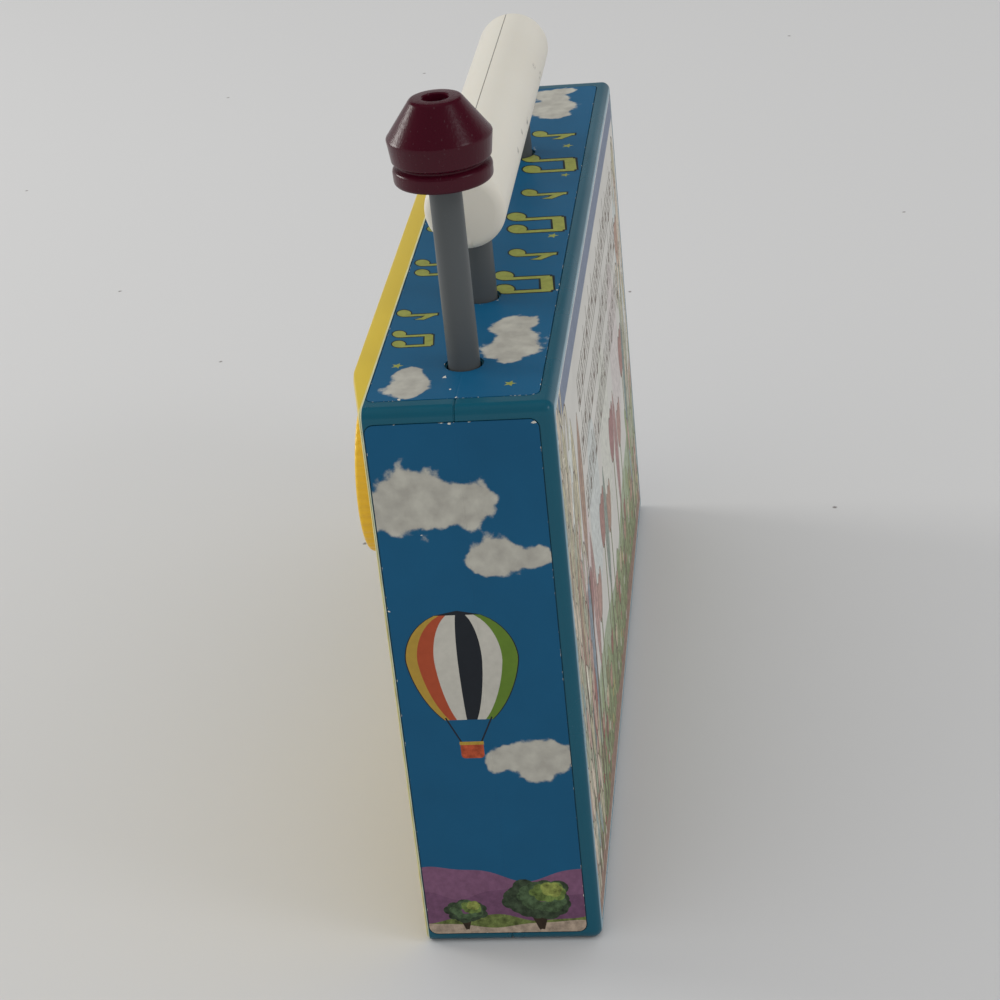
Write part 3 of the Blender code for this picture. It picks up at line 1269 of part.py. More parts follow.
def make_drum(carrier):
    bm = bmesh.new()
    arbor = DRUM_ARBOR_DIAMETER / 2
    profile = [
        (0, FEED_LOW_Z),
        (arbor, FEED_LOW_Z),
        (arbor, DRUM_LOW_Z),
        (DRUM_RADIUS, DRUM_LOW_Z),
        (DRUM_RADIUS, DRUM_TOP_Z),
        (arbor, DRUM_TOP_Z),
        (arbor, TOP_EAR_HIGH_Z),
        (0, TOP_EAR_HIGH_Z),
    ]
    turned(bm, profile, DRUM_AXIS, "z", ROUND_STEPS)
    drum = piece("music_drum", bm, BRASS, carrier)
    pins = bmesh.new()
    for tooth in range(COMB_TEETH):
        height = COMB_LOW_Z + COMB_PITCH * (tooth + 1 / 2)
        for beat in range(PINS_PER_NOTE):
            step = (tooth * PIN_NOTE_STEP + beat * PIN_BEAT_STEP) % PIN_GRID
            angle = math.tau * (step + 1 / 2) / PIN_GRID
            centre = polar(DRUM_AXIS, DRUM_RADIUS, angle)
            pin_block(pins, centre, height, angle)
    shape_by(drum, pins, "UNION")

    bore = arbor + SEAT_GAP
    phase = math.pi / 2 + math.pi / DRUM_PINION_TEETH
    wheels = [
        ("drum_pinion", DRUM_PINION_TEETH, COARSE_MODULE, DRUM_PINION_LOW_Z, DRUM_PINION_TOP_Z, phase),
        ("drum_wheel", DRUM_WHEEL_TEETH, FINE_MODULE, SLOW_WHEEL_LOW_Z, SLOW_WHEEL_TOP_Z, 0.0),
        ("feed_pinion", FEED_PINION_TEETH, FEED_MODULE, FEED_LOW_Z, FEED_TOP_Z, 0.0),
    ]
    for name, teeth, module, low, high, phase in wheels:
        gear(name, (teeth, module, DRUM_AXIS, phase), low, high, bore, BRASS, carrier)


def pin_block(bm, centre, height, angle):
    """One square drum pin that stands out along its radius."""
    radial = Vector((math.cos(angle), math.sin(angle)))
    across = Vector((-radial.y, radial.x)) * DRUM_PIN_WIDTH / 2
    foot = Vector(centre) - radial * DRUM_PIN_LENGTH
    head = Vector(centre) + radial * DRUM_PIN_LENGTH
    outline = [tuple(p) for p in (foot - across, head - across, head + across, foot + across)]
    extrude(bm, outline, height - DRUM_PIN_WIDTH / 2, height + DRUM_PIN_WIDTH / 2, "z")


def bracket_screw_places():
    x = (SPINE_LEFT_X + SPINE_RIGHT_X) / 2
    return [(x, LOW_ARM_LOW_Z - BRACKET_TAB / 2), (x, HIGH_ARM_HIGH_Z + BRACKET_TAB / 2)]


def make_bracket():
    """The governor's bracket: a spine on the bedplate with two arms that hold the arbors."""
    spine = [
        (SPINE_LEFT_X, LOW_ARM_LOW_Z - BRACKET_TAB),
        (SPINE_RIGHT_X, LOW_ARM_LOW_Z - BRACKET_TAB),
        (SPINE_RIGHT_X, HIGH_ARM_HIGH_Z + BRACKET_TAB),
        (SPINE_LEFT_X, HIGH_ARM_HIGH_Z + BRACKET_TAB),
    ]
    arm = [
        (SPINE_LEFT_X, SPINE_FRONT_Y),
        (SPINE_RIGHT_X, SPINE_FRONT_Y),
        (SPINE_RIGHT_X, GOVERNOR_AXIS[1] + ARM_BORDER),
        (IDLER_AXIS[0], IDLER_AXIS[1] + ARM_BORDER),
        (IDLER_AXIS[0] - ARM_BORDER, IDLER_AXIS[1] + ARM_BORDER / 2),
        (IDLER_AXIS[0] - ARM_BORDER / 2, IDLER_AXIS[1] - ARM_BORDER / 2),
        (SPINE_LEFT_X, SPINE_BACK_Y + ARM_BORDER),
    ]
    arm_levels = ((LOW_ARM_LOW_Z, LOW_ARM_HIGH_Z), (HIGH_ARM_LOW_Z, HIGH_ARM_HIGH_Z))
    shank = SCREW_SHANK_DIAMETER / 2 + SEAT_GAP
    holes = [circle(place, shank, BORE_STEPS) for place in bracket_screw_places()]
    bm = bmesh.new()
    extrude(bm, spine, SPINE_FRONT_Y, SPINE_BACK_Y, "y", holes)
    bracket = piece("governor_bracket", bm, CAST_ZINC)
    arms = bmesh.new()
    for low, high in arm_levels:
        extrude(arms, arm, low, high, "z")
    shape_by(bracket, arms, "UNION")
    pivots = bmesh.new()
    pivot = SPINDLE_DIAMETER / 2 + RUN_GAP
    past = OVERRUN / 2
    for axis in (IDLER_AXIS, GOVERNOR_AXIS):
        for low, high in arm_levels:
            cylinder(pivots, axis, pivot, low - past, high + past, "z", BORE_STEPS)
    shape_by(bracket, pivots, "DIFFERENCE")
    for number, place in enumerate(bracket_screw_places(), 1):
        screw(f"bracket_screw_{number}", place, SPINE_BACK_Y, "y", 1, SCREW_DEPTH - SEAT_GAP)


def make_governor(idler_carrier, governor_carrier):
    """The intermediate arbor and its wheel, and the fast spindle with its fan."""
    ends = (LOW_ARM_LOW_Z, HIGH_ARM_HIGH_Z)
    slow = (SLOW_WHEEL_LOW_Z, SLOW_WHEEL_TOP_Z)
    fast = (FAST_WHEEL_LOW_Z, FAST_WHEEL_TOP_Z)
    bore = SPINDLE_DIAMETER / 2 + SEAT_GAP
    phase = meshing_phase(
        0.0, DRUM_WHEEL_TEETH, DRUM_AXIS, IDLER_AXIS, IDLER_PINION_TEETH, FINE_MODULE
    )
    toothing = (IDLER_PINION_TEETH, FINE_MODULE, IDLER_AXIS, phase)
    pinion_arbor("intermediate_arbor", IDLER_AXIS, *ends, idler_carrier, toothing, *slow)
    toothing = (IDLER_WHEEL_TEETH, FINE_MODULE, IDLER_AXIS, 0.0)
    gear("intermediate_wheel", toothing, *fast, bore, BRASS, idler_carrier)
    phase = meshing_phase(
        0.0, IDLER_WHEEL_TEETH, IDLER_AXIS, GOVERNOR_AXIS, GOVERNOR_PINION_TEETH, FINE_MODULE
    )
    toothing = (GOVERNOR_PINION_TEETH, FINE_MODULE, GOVERNOR_AXIS, phase)
    pinion_arbor("governor_spindle", GOVERNOR_AXIS, *ends, governor_carrier, toothing, *fast)
    bm = bmesh.new()
    hole = circle(GOVERNOR_AXIS, bore, BORE_STEPS)
    extrude(bm, fan_outline(), FAN_LOW_Z, FAN_TOP_Z, "z", [hole])
    piece("governor_fan", bm, GREY_PLASTIC, governor_carrier)


def fan_outline():
    """Two flat wings on a round hub."""
    half = FAN_THICKNESS / 2
    reach = math.asin(half / FAN_HUB_RADIUS)
    sweep = math.pi - 2 * reach
    outline = []
    for side in (0, math.pi):
        forward = Vector((math.cos(side), math.sin(side)))
        across = Vector((-forward.y, forward.x)) * half
        tip = Vector(GOVERNOR_AXIS) + forward * FAN_RADIUS
        outline += [tuple(tip - across), tuple(tip + across)]
        for i in range(FAN_HUB_STEPS + 1):
            turn = side + reach + sweep * i / FAN_HUB_STEPS
            outline.append(polar(GOVERNOR_AXIS, FAN_HUB_RADIUS, turn))
    return outline


# The picture belt and its drive


def make_roller(name, axis, low, carrier):
    radius = ROLLER_DIAMETER / 2
    arbor = ROLLER_ARBOR_DIAMETER / 2
    high = BELT_HIGH_Z + SEAT_GAP + BEARING_THICKNESS
    profile = [
        (0, low),
        (arbor, low),
        (arbor, BELT_LOW_Z),
        (radius, BELT_LOW_Z),
        (radius, BELT_HIGH_Z),
        (arbor, BELT_HIGH_Z),
        (arbor, high),
        (0, high),
    ]
    bm = bmesh.new()
    turned(bm, profile, axis, "z", ROUND_STEPS)
    piece(name, bm, WHITE_PLASTIC, carrier)


def make_belt(right_carrier, left_carrier):
    """The printed picture belt on its two upright rollers."""
    lows = [low for x, low in bearing_blocks()]
    make_roller("belt_roller_right", ROLLER_RIGHT_AXIS, lows[0], right_carrier)
    make_roller("belt_roller_left", ROLLER_LEFT_AXIS, lows[2], left_carrier)
    inner = ROLLER_DIAMETER / 2 + BELT_GAP
    steps = ROUND_STEPS // 2
    band = stadium(ROLLER_LEFT_AXIS, ROLLER_RIGHT_AXIS, inner + BELT_THICKNESS, steps)
    hole = stadium(ROLLER_LEFT_AXIS, ROLLER_RIGHT_AXIS, inner, steps)
    bm = bmesh.new()
    extrude(bm, band, BELT_LOW_Z, BELT_HIGH_Z, "z", [hole])
    piece("picture_belt", bm, PRINTED_PAPER)


def make_belt_drive(transfer_carrier, right_carrier):
    """The transfer gear on its stud, and the gear that turns the right roller."""
    levels = (FEED_LOW_Z, FEED_TOP_Z)
    phase = meshing_phase(
        0.0, FEED_PINION_TEETH, DRUM_AXIS, TRANSFER_AXIS, TRANSFER_TEETH, FEED_MODULE
    )
    toothing = (TRANSFER_TEETH, FEED_MODULE, TRANSFER_AXIS, phase)
    bore = STUD_DIAMETER / 2 + RUN_GAP
    gear("transfer_gear", toothing, *levels, bore, WHITE_PLASTIC, transfer_carrier)
    phase = meshing_phase(
        phase, TRANSFER_TEETH, TRANSFER_AXIS, ROLLER_RIGHT_AXIS, ROLLER_GEAR_TEETH, FEED_MODULE
    )
    toothing = (ROLLER_GEAR_TEETH, FEED_MODULE, ROLLER_RIGHT_AXIS, phase)
    bore = ROLLER_ARBOR_DIAMETER / 2 + SEAT_GAP
    gear("roller_gear", toothing, *levels, bore, WHITE_PLASTIC, right_carrier)
    stud = STUD_DIAMETER / 2
    head = STUD_HEAD_DIAMETER / 2
    under = FEED_LOW_Z - SEAT_GAP
    low = under - STUD_HEAD_HEIGHT
    profile = [
        (0, low),
        (head, low),
        (head, under),
        (stud, under),
        (stud, FOOT_EAR_HIGH_Z),
        (0, FOOT_EAR_HIGH_Z),
    ]
    bm = bmesh.new()
    turned(bm, profile, TRANSFER_AXIS, "z", BORE_STEPS)
    piece("transfer_stud", bm, STEEL)


def build():
    clear_scene()
    make_front_shell()
    make_rear_shell()
    make_back_panel()
    make_labels()
    make_front_bezel()
    make_screen_pane()
    make_handle()
    make_antenna(axis_empty("antenna_axis", (MAST_X, SEAM_Y, KNOB_LOW_Z)))
    dial = axis_empty("dial_axis", (DIAL_CENTRE_X, DIAL_BACK_Y, DIAL_CENTRE_Z))
    make_dial(dial)
    make_ratchet(dial)
    make_bedplate()
    make_comb()
    make_spring()
    make_drum(axis_empty("drum_axis", (*DRUM_AXIS, DRUM_LOW_Z)))
    idler = axis_empty("intermediate_axis", (*IDLER_AXIS, FAST_WHEEL_LOW_Z))
    governor = axis_empty("governor_axis", (*GOVERNOR_AXIS, FAST_WHEEL_LOW_Z))
    make_bracket()
    make_governor(idler, governor)
    transfer = axis_empty("transfer_axis", (*TRANSFER_AXIS, FEED_LOW_Z))
    right = axis_empty("roller_right_axis", (*ROLLER_RIGHT_AXIS, BELT_LOW_Z))
    left = axis_empty("roller_left_axis", (*ROLLER_LEFT_AXIS, BELT_LOW_Z))
    make_belt(right, left)
    make_belt_drive(transfer, right)


build()
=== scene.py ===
import json
import math
import random

import bmesh
import bpy
from mathutils import Matrix, Vector
from mathutils.geometry import delaunay_2d_cdt

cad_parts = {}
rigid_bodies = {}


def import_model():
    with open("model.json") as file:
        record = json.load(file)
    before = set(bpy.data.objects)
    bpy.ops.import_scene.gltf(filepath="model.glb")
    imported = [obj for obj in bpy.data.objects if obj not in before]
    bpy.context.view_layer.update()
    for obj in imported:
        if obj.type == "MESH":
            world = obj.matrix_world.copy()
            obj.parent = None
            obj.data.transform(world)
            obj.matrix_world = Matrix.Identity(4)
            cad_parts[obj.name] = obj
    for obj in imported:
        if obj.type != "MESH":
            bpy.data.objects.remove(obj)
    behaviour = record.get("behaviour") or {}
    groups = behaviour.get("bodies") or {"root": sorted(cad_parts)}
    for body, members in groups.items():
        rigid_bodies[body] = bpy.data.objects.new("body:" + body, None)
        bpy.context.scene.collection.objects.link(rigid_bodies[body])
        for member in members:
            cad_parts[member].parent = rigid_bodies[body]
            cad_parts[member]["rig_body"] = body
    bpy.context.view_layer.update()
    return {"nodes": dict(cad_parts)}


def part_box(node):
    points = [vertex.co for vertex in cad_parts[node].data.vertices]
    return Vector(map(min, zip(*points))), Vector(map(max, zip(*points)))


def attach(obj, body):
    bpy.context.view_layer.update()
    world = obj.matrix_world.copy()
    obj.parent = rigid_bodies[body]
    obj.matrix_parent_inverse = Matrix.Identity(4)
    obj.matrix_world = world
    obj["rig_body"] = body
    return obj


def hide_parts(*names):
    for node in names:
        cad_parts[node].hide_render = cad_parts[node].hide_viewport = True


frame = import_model()

# The view
# A stills camera on a tripod looks at the toy's right end from behind and above. Its place was
# worked out from the case's corners, and the toy stands with its base on the floor at height zero.
MM = 0.001
IMAGE_PIXELS = 1000
FOCAL_PIXELS = 2405.39
SENSOR_WIDTH = 36.0
FARTHEST = 20.0
CAMERA_PLACE = Vector((607.57, 82.02, 376.79)) * MM
CAMERA_RIGHT = Vector((-0.09303728, 0.9912855, -0.09325838))
CAMERA_UP = Vector((-0.46050251, 0.04020309, 0.88674751))

camera = bpy.data.objects.new("stills_camera", bpy.data.cameras.new("stills_camera"))
camera.data.sensor_width = SENSOR_WIDTH
camera.data.lens = FOCAL_PIXELS / IMAGE_PIXELS * SENSOR_WIDTH
camera.data.clip_end = FARTHEST
axes = Matrix((CAMERA_RIGHT, CAMERA_UP, CAMERA_RIGHT.cross(CAMERA_UP))).transposed()
camera.matrix_world = Matrix.Translation(CAMERA_PLACE) @ axes.to_4x4()
bpy.context.scene.collection.objects.link(camera)
bpy.context.scene.camera = camera
bpy.context.scene.view_settings.view_transform = "Standard"


# The studio
# A pale matt paper floor, soft boxes on the toy's screen side, on its rear side and overhead, and
# an even pale surround that fills the shadows. What is seen past the floor is pale, and dark above.
SWEEP_GREY = "#C9C9C9"
SWEEP_RADIUS = 5.0
SWEEP_SIDES = 96
SURROUND_GREY = "#C6C6C6"
SURROUND_STRENGTH = 0.82
ROOM_GREY = "#2E2E2E"
ROOM_STARTS_SHARE = 0.28
ROOM_FULL_SHARE = 0.42
BOX_AIM = Vector((0.0, 0.0, 0.08))


def linear(code):
    """A hex sRGB colour as the linear values that a shader takes."""
    shares = [int(code[i : i + 2], 16) / 255 for i in (1, 3, 5)]
    return (*(s / 12.92 if s <= 0.04045 else ((s + 0.055) / 1.055) ** 2.4 for s in shares), 1.0)


def feed(tree, node, feeds):
    """Sets a node's sockets. A feed is a plain value, or another node or output to link."""
    for socket, value in feeds.items():
        if isinstance(value, bpy.types.Node):
            value = value.outputs[0]
        if isinstance(value, bpy.types.NodeSocket):
            tree.links.new(value, node.inputs[socket])
        else:
            node.inputs[socket].default_value = value


def add(tree, kind, feeds=None, **settings):
    """Adds one node with its settings and what feeds it."""
    made = tree.nodes.new("ShaderNode" + kind)
    for name, value in settings.items():
        setattr(made, name, value)
    feed(tree, made, feeds or {})
    return made


def new_finish(name):
    """A new material, its node tree, its shader and the place on the object in metres."""
    made = bpy.data.materials.new(name)
    made.use_nodes = True
    tree = made.node_tree
    return made, tree, tree.nodes["Principled BSDF"], add(tree, "TexCoord").outputs["Object"]


def matt_paper(name, colour):
    """Uncoated studio paper: no gloss, a barely mottled tone, a fine fibre tooth, stray lint."""
    made, tree, shader, place = new_finish(name)
    cloud = add(tree, "TexNoise", {"Vector": place, "Scale": 1 / (400 * MM), "Detail": 2.0})
    darker = tuple(0.985 * c for c in linear(colour)[:3]) + (1.0,)
    tone = add(tree, "Mix", {0: cloud, 6: linear(colour), 7: darker}, data_type="RGBA").outputs[2]
    bent = add(tree, "TexNoise", {"Vector": place, "Scale": 1 / (1.5 * MM), "Detail": 2.0})
    bent = add(tree, "VectorMath", {0: bent.outputs["Color"], 3: 1.2 * MM}, operation="SCALE")
    bent = add(tree, "VectorMath", {0: place, 1: bent}, operation="ADD")
    lint = add(tree, "TexVoronoi", {"Vector": bent, "Scale": 1 / (190 * MM)}, voronoi_dimensions="2D")
    lint = add(tree, "MapRange", {0: lint.outputs["Distance"], 1: 0.002, 2: 0.005, 3: 0.7, 4: 0.0})
    tone = add(tree, "Mix", {0: lint, 6: tone, 7: linear("#4A3A36")}, data_type="RGBA").outputs[2]
    tooth = add(tree, "TexNoise", {"Vector": place, "Scale": 1 / (1.2 * MM), "Detail": 2.0})
    bump = add(tree, "Bump", {"Height": tooth, "Strength": 0.25, "Distance": 0.02 * MM})
    feed(tree, shader, {"Base Color": tone, "Roughness": 0.92, "Normal": bump, "Specular IOR Level": 0.2})
    return made


def circle(centre, radius, steps):
    """Points spaced evenly round a circle."""
    turns = [math.tau * i / steps for i in range(steps)]
    return [(centre[0] + radius * math.cos(a), centre[1] + radius * math.sin(a)) for a in turns]


sweep_mesh = bpy.data.meshes.new("paper_sweep")
sweep_points = [(x, y, 0.0) for x, y in circle((0.0, 0.0), SWEEP_RADIUS, SWEEP_SIDES)]
sweep_mesh.from_pydata(sweep_points, [], [list(range(SWEEP_SIDES))])
sweep = bpy.data.objects.new("paper_sweep", sweep_mesh)
bpy.context.scene.collection.objects.link(sweep)
sweep_mesh.materials.append(matt_paper("uncoated_grey_paper", SWEEP_GREY))


def soft_box(name, direction, distance, width, height, watts, tint):
    """A square of diffused light that faces the toy."""
    lamp = bpy.data.lights.new(name, "AREA")
    lamp.shape = "RECTANGLE"
    lamp.size = width
    lamp.size_y = height
    lamp.energy = watts
    lamp.color = linear(tint)[:3]
    item = bpy.data.objects.new(name, lamp)
    toward = Vector(direction).normalized()
    item.location = toward * distance + BOX_AIM
    item.rotation_euler = toward.to_track_quat("Z", "Y").to_euler()
    bpy.context.scene.collection.objects.link(item)


soft_box("screen_side_box", (-0.27, -0.91, 0.34), 1.5, 0.48, 0.38, 7.0, "#FFFDF8")
soft_box("rear_side_box", (0.32, 0.71, 0.64), 1.6, 0.4, 0.3, 2.2, "#FAFCFF")
soft_box("overhead_box", (0.0, -0.15, 1.0), 1.7, 1.4, 1.2, 0.8, "#FFFFFF")

world = bpy.data.worlds.new("pale_surround")
world.use_nodes = True
bpy.context.scene.world = world
tree = world.node_tree
surround = tree.nodes["Background"]
surround.inputs["Color"].default_value = (1.0, 1.0, 1.0, 1.0)
surround.inputs["Strength"].default_value = SURROUND_STRENGTH
backdrop = add(tree, "Background", {"Color": linear(SURROUND_GREY), "Strength": 1.0})
path = add(tree, "LightPath")
upward = add(tree, "SeparateXYZ", {0: add(tree, "TexCoord").outputs["Generated"]}).outputs["Z"]
overhead = {0: upward, 1: ROOM_STARTS_SHARE, 2: ROOM_FULL_SHARE}
above = add(tree, "MapRange", overhead, interpolation_type="SMOOTHSTEP")
room = add(tree, "Background", {"Color": linear(ROOM_GREY), "Strength": 1.0})
background = add(tree, "MixShader", {0: above, 1: backdrop, 2: room})
seen = path.outputs["Is Camera Ray"]
for way in ("Is Glossy Ray", "Is Transmission Ray"):
    seen = add(tree, "Math", {0: seen, 1: path.outputs[way]}, operation="MAXIMUM")
choice = add(tree, "MixShader", {0: seen, 1: surround, 2: background})
tree.links.new(choice.outputs[0], tree.nodes["World Output"].inputs["Surface"])


# The case
# Two injection moulded halves in glossy teal polystyrene that meet near mid-depth and are
# pegged together. Shallow pockets in the top and the ends take the printed labels.
CASE_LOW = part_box("front_shell")[0]
CASE_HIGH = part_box("rear_shell")[1]
FRONT_Y = CASE_LOW.y
BACK_Y = CASE_HIGH.y
TOP_Z = CASE_HIGH.z
HALF_LENGTH = CASE_HIGH.x
REAR_HALF_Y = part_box("rear_shell")[0].y
FIT_GAP = 0.3 * MM
FRONT_HALF_Y = REAR_HALF_Y - FIT_GAP
SEAM_Y = REAR_HALF_Y - FIT_GAP / 2
CASE_CORNER = 3.0 * MM
LEAST_CORNER = 0.6 * MM
INNER_CORNER = 1.8 * MM
CASE_WALL = 2.4 * MM
REAR_EDGE = 2.4 * MM
SOFT_EDGE = 0.3 * MM
TONGUE_INSET = 0.22 * MM
TONGUE_REACH = 0.25 * MM
LABEL_CORNER = 2.2  # in millimetres, as the labels are drawn
LABEL_POCKET = 0.45 * MM
POCKET_GAP = 0.25 * MM
PANEL_CORNER = 2.0 * MM
PANEL_POCKET = 1.1 * MM
FOOT_MARGIN = 1.4 * MM
POST_HOLE = 4.35 * MM
MAST_HOLE = 4.3 * MM
HOLE_DEPTH = 12.0 * MM
PAST = 1.0 * MM  # how far a cut runs past what it cuts
CORNER_STEPS = 10
TEAL = "#0D566A"
TEAL_SHADE = "#0B4D60"


def rounded(width, height, radius, steps=CORNER_STEPS, centre=(0.0, 0.0)):
    """A rectangle's outline with round corners."""
    points = []
    for corner in range(4):
        across = 1 if corner in (0, 3) else -1
        upward = 1 if corner in (0, 1) else -1
        u = centre[0] + across * (width / 2 - radius)
        v = centre[1] + upward * (height / 2 - radius)
        for step in range(steps + 1):
            turn = (corner + step / steps) * math.pi / 2
            points.append((u + radius * math.cos(turn), v + radius * math.sin(turn)))
    return points


def spanning(u_span, v_span, radius, grow=0.0, steps=CORNER_STEPS):
    """The outline with round corners that spans two ranges, grown on every side."""
    (u1, u2), (v1, v2) = u_span, v_span
    middle = ((u1 + u2) / 2, (v1 + v2) / 2)
    return rounded(u2 - u1 + 2 * grow, v2 - v1 + 2 * grow, radius, steps, middle)


def skin(rings):
    """A body that joins matching rings of points, capped at its ends."""
    bm = bmesh.new()
    rows = [[bm.verts.new(point) for point in ring] for ring in rings]
    bm.faces.new(rows[0])
    bm.faces.new(rows[-1])
    for low, high in zip(rows, rows[1:]):
        for i in range(len(low)):
            j = (i + 1) % len(low)
            bm.faces.new((low[i], low[j], high[j], high[i]))
    bmesh.ops.recalc_face_normals(bm, faces=bm.faces)
    return bm


def facing_y(outline, y):
    """A flat outline, stood upright at a depth."""
    return [(u, y, v) for u, v in outline]


def settle(item):
    """Keeps what an object's modifiers make of it as its mesh."""
    bpy.context.view_layer.update()
    seen_by = bpy.context.evaluated_depsgraph_get()
    mesh = bpy.data.meshes.new_from_object(item.evaluated_get(seen_by))
    old = item.data
    item.modifiers.clear()
    item.data = mesh
    bpy.data.meshes.remove(old)


def carve(item, helper, operation="DIFFERENCE"):
    """Cuts a helper body away from a piece, or joins it on."""
    tool = bpy.data.objects.new("tool", bpy.data.meshes.new("tool"))
    bmesh.ops.recalc_face_normals(helper, faces=helper.faces)
    helper.to_mesh(tool.data)
    helper.free()
    bpy.context.scene.collection.objects.link(tool)
    boolean = item.modifiers.new("boolean", "BOOLEAN")
    boolean.operation = operation
    boolean.solver = "EXACT"
    boolean.object = tool
    settle(item)
    bpy.data.objects.remove(tool)


def piece(name, bm, material, node):
    """Stands a finished body in for a CAD node and lets it ride where the node rides."""
    mesh = bpy.data.meshes.new(name)
    bm.to_mesh(mesh)
    bm.free()
    item = bpy.data.objects.new(name, mesh)
    bpy.context.scene.collection.objects.link(item)
    mesh.materials.append(material)
    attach(item, frame["nodes"][node]["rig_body"])
    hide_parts(node)
    return item


def smooth(item, angle=32):
    """Shades round stretches smoothly and keeps flat faces flat."""
    item.data.shade_smooth()
    item.data.set_sharp_from_angle(angle=math.radians(angle))
    even = item.modifiers.new("even_normals", "WEIGHTED_NORMAL")
    even.keep_sharp = True
    even.weight = 90


def moulded(name, colour, shade, roughness, scuff, shine, peel=0.5, glow=0.0, grain=(1.0, 1.0, 1.0)):
    """An injection moulded plastic: a faintly clouded tone, the soft ripple that the cooled skin
    takes, painted shade and grime where a piece is marked, dust, and scuffs that are paler and duller."""
    made, tree, shader, place = new_finish(name)
    cloud = add(tree, "TexNoise", {"Vector": place, "Scale": 1 / (38 * MM), "Detail": 3.0})
    tones = {0: cloud, 6: linear(colour), 7: linear(shade)}
    tone = add(tree, "Mix", tones, data_type="RGBA").outputs[2]
    lie = {"Vector": place, "Rotation": (0.5, 0.35, 0.8), "Scale": (1.0, 14.0, 11.0)}
    streak = add(tree, "Mapping", lie)
    streak = add(tree, "TexNoise", {"Vector": streak, "Scale": 1 / (9 * MM), "Detail": 4.0})
    worn = add(tree, "MapRange", {0: streak, 1: 0.66, 2: 0.74, 3: 0.0, 4: scuff})
    specks = add(tree, "TexNoise", {"Vector": place, "Scale": 1 / (0.9 * MM), "Detail": 2.0})
    dust = add(tree, "MapRange", {0: specks, 1: 0.72, 2: 0.78, 3: 0.0, 4: 0.12 * scuff})
    marks = add(tree, "Math", {0: worn, 1: 0.22, 2: dust}, operation="MULTIPLY_ADD")
    pale = tuple(0.6 * c + 0.4 * 0.5 for c in linear(colour)[:3]) + (1.0,)
    tone = add(tree, "Mix", {0: marks, 6: tone, 7: pale}, data_type="RGBA").outputs[2]
    # Painted shade and grime: a dark tone where the piece marks it, as along the grip's parting line.
    shade_and_grime = add(tree, "Attribute", attribute_name="shade_and_grime").outputs["Fac"]
    tone = add(tree, "Mix", {0: shade_and_grime, 6: tone, 7: linear("#3B3833")}, data_type="RGBA").outputs[2]
    dull = {0: cloud, 1: 0.3, 2: 0.7, 3: roughness - 0.04, 4: roughness + 0.05}
    patchy = add(tree, "MapRange", dull)
    rough = add(tree, "Math", {0: worn, 1: 0.25, 2: patchy}, operation="MULTIPLY_ADD")
    drawn = add(tree, "Mapping", {"Vector": place, "Scale": grain})
    ripple = add(tree, "TexNoise", {"Vector": drawn, "Scale": 1 / (2.4 * MM), "Detail": 3.0})
    bump = add(tree, "Bump", {"Height": ripple, "Strength": 0.3 * peel, "Distance": 0.06 * MM})
    scratch = {"Height": worn, "Strength": 0.25, "Distance": -0.03 * MM, "Normal": bump}
    feed(tree, shader, {"Base Color": tone, "Roughness": rough, "Normal": add(tree, "Bump", scratch)})
    feed(tree, shader, {"IOR": 1.55, "Specular IOR Level": shine})
    if glow:
        feed(tree, shader, {"Subsurface Weight": glow, "Subsurface Radius": (2.0, 1.6, 1.2)})
        feed(tree, shader, {"Subsurface Scale": 1.0 * MM})
    return made


def finish_so_far(material):
    """A material's node tree, its shader, the tone that it has so far and the place on the object."""
    tree = material.node_tree
    shader = tree.nodes["Principled BSDF"]
    tone = shader.inputs["Base Color"].links[0].from_socket
    return tree, shader, tone, add(tree, "TexCoord").outputs["Object"]


def painted_edge_highlight(material, colour, start, end):
    """Paints a pale highlight along one edge of a moulding, fading from one depth to another."""
    tree, shader, tone, place = finish_so_far(material)
    depth = add(tree, "SeparateXYZ", {0: place}).outputs["Y"]
    patchy = add(tree, "TexNoise", {"Vector": place, "Scale": 1 / (6 * MM), "Detail": 4.0})
    patchy = add(tree, "MapRange", {0: patchy, 1: 0.3, 2: 0.6, 3: 0.6, 4: 1.0})
    edge = add(tree, "MapRange", {0: depth, 1: start, 2: end, 3: patchy, 4: 0.0})
    tone = add(tree, "Mix", {0: edge, 6: tone, 7: linear(colour)}, data_type="RGBA").outputs[2]
    feed(tree, shader, {"Base Color": tone})


# Polystyrene is hard and takes a high shine, which years of handling have softened here.
teal_plastic = moulded("teal_polystyrene", TEAL, TEAL_SHADE, 0.28, scuff=0.25, shine=0.25)
# Both pale lines painted along the case's front and rear edges are painted highlights.
painted_edge_highlight(teal_plastic, "#D2D5B6", FRONT_Y + 0.2 * MM, FRONT_Y + 0.34 * MM)
painted_edge_highlight(teal_plastic, "#86A6B4", BACK_Y - 0.04 * MM, BACK_Y - 0.24 * MM)


def case_outline(inset):
    """The case's outline seen from the front, drawn in by an inset."""
    radius = max(CASE_CORNER - inset, LEAST_CORNER)
    width = 2 * (HALF_LENGTH - inset)
    return rounded(width, TOP_Z - 2 * inset, radius, centre=(0.0, TOP_Z / 2))


def soft_end(y, inward):
    """The insets and depths of a softly broken edge that starts on a flat face at y."""
    ends = []
    for turn in (0, 30, 60, 90):
        angle = math.radians(turn)
        ends.append((SOFT_EDGE * (1 - math.sin(angle)), y + inward * SOFT_EDGE * (1 - math.cos(angle))))
    return ends


def label_pocket(node):
    """A pocket round a label, from its floor to just outside the case."""
    low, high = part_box(node)
    radius = LABEL_CORNER * MM + POCKET_GAP
    if node == "top_label":
        edge = spanning((low.x, high.x), (low.y, high.y), radius, POCKET_GAP)
        return skin([[(u, v, z) for u, v in edge] for z in (TOP_Z - LABEL_POCKET, TOP_Z + PAST)])
    side = 1 if high.x > 0 else -1
    edge = spanning((low.y, high.y), (low.z + FOOT_MARGIN, high.z), radius, POCKET_GAP)
    levels = (HALF_LENGTH - LABEL_POCKET, HALF_LENGTH + PAST)
    return skin([[(side * x, u, v) for u, v in edge] for x in levels])


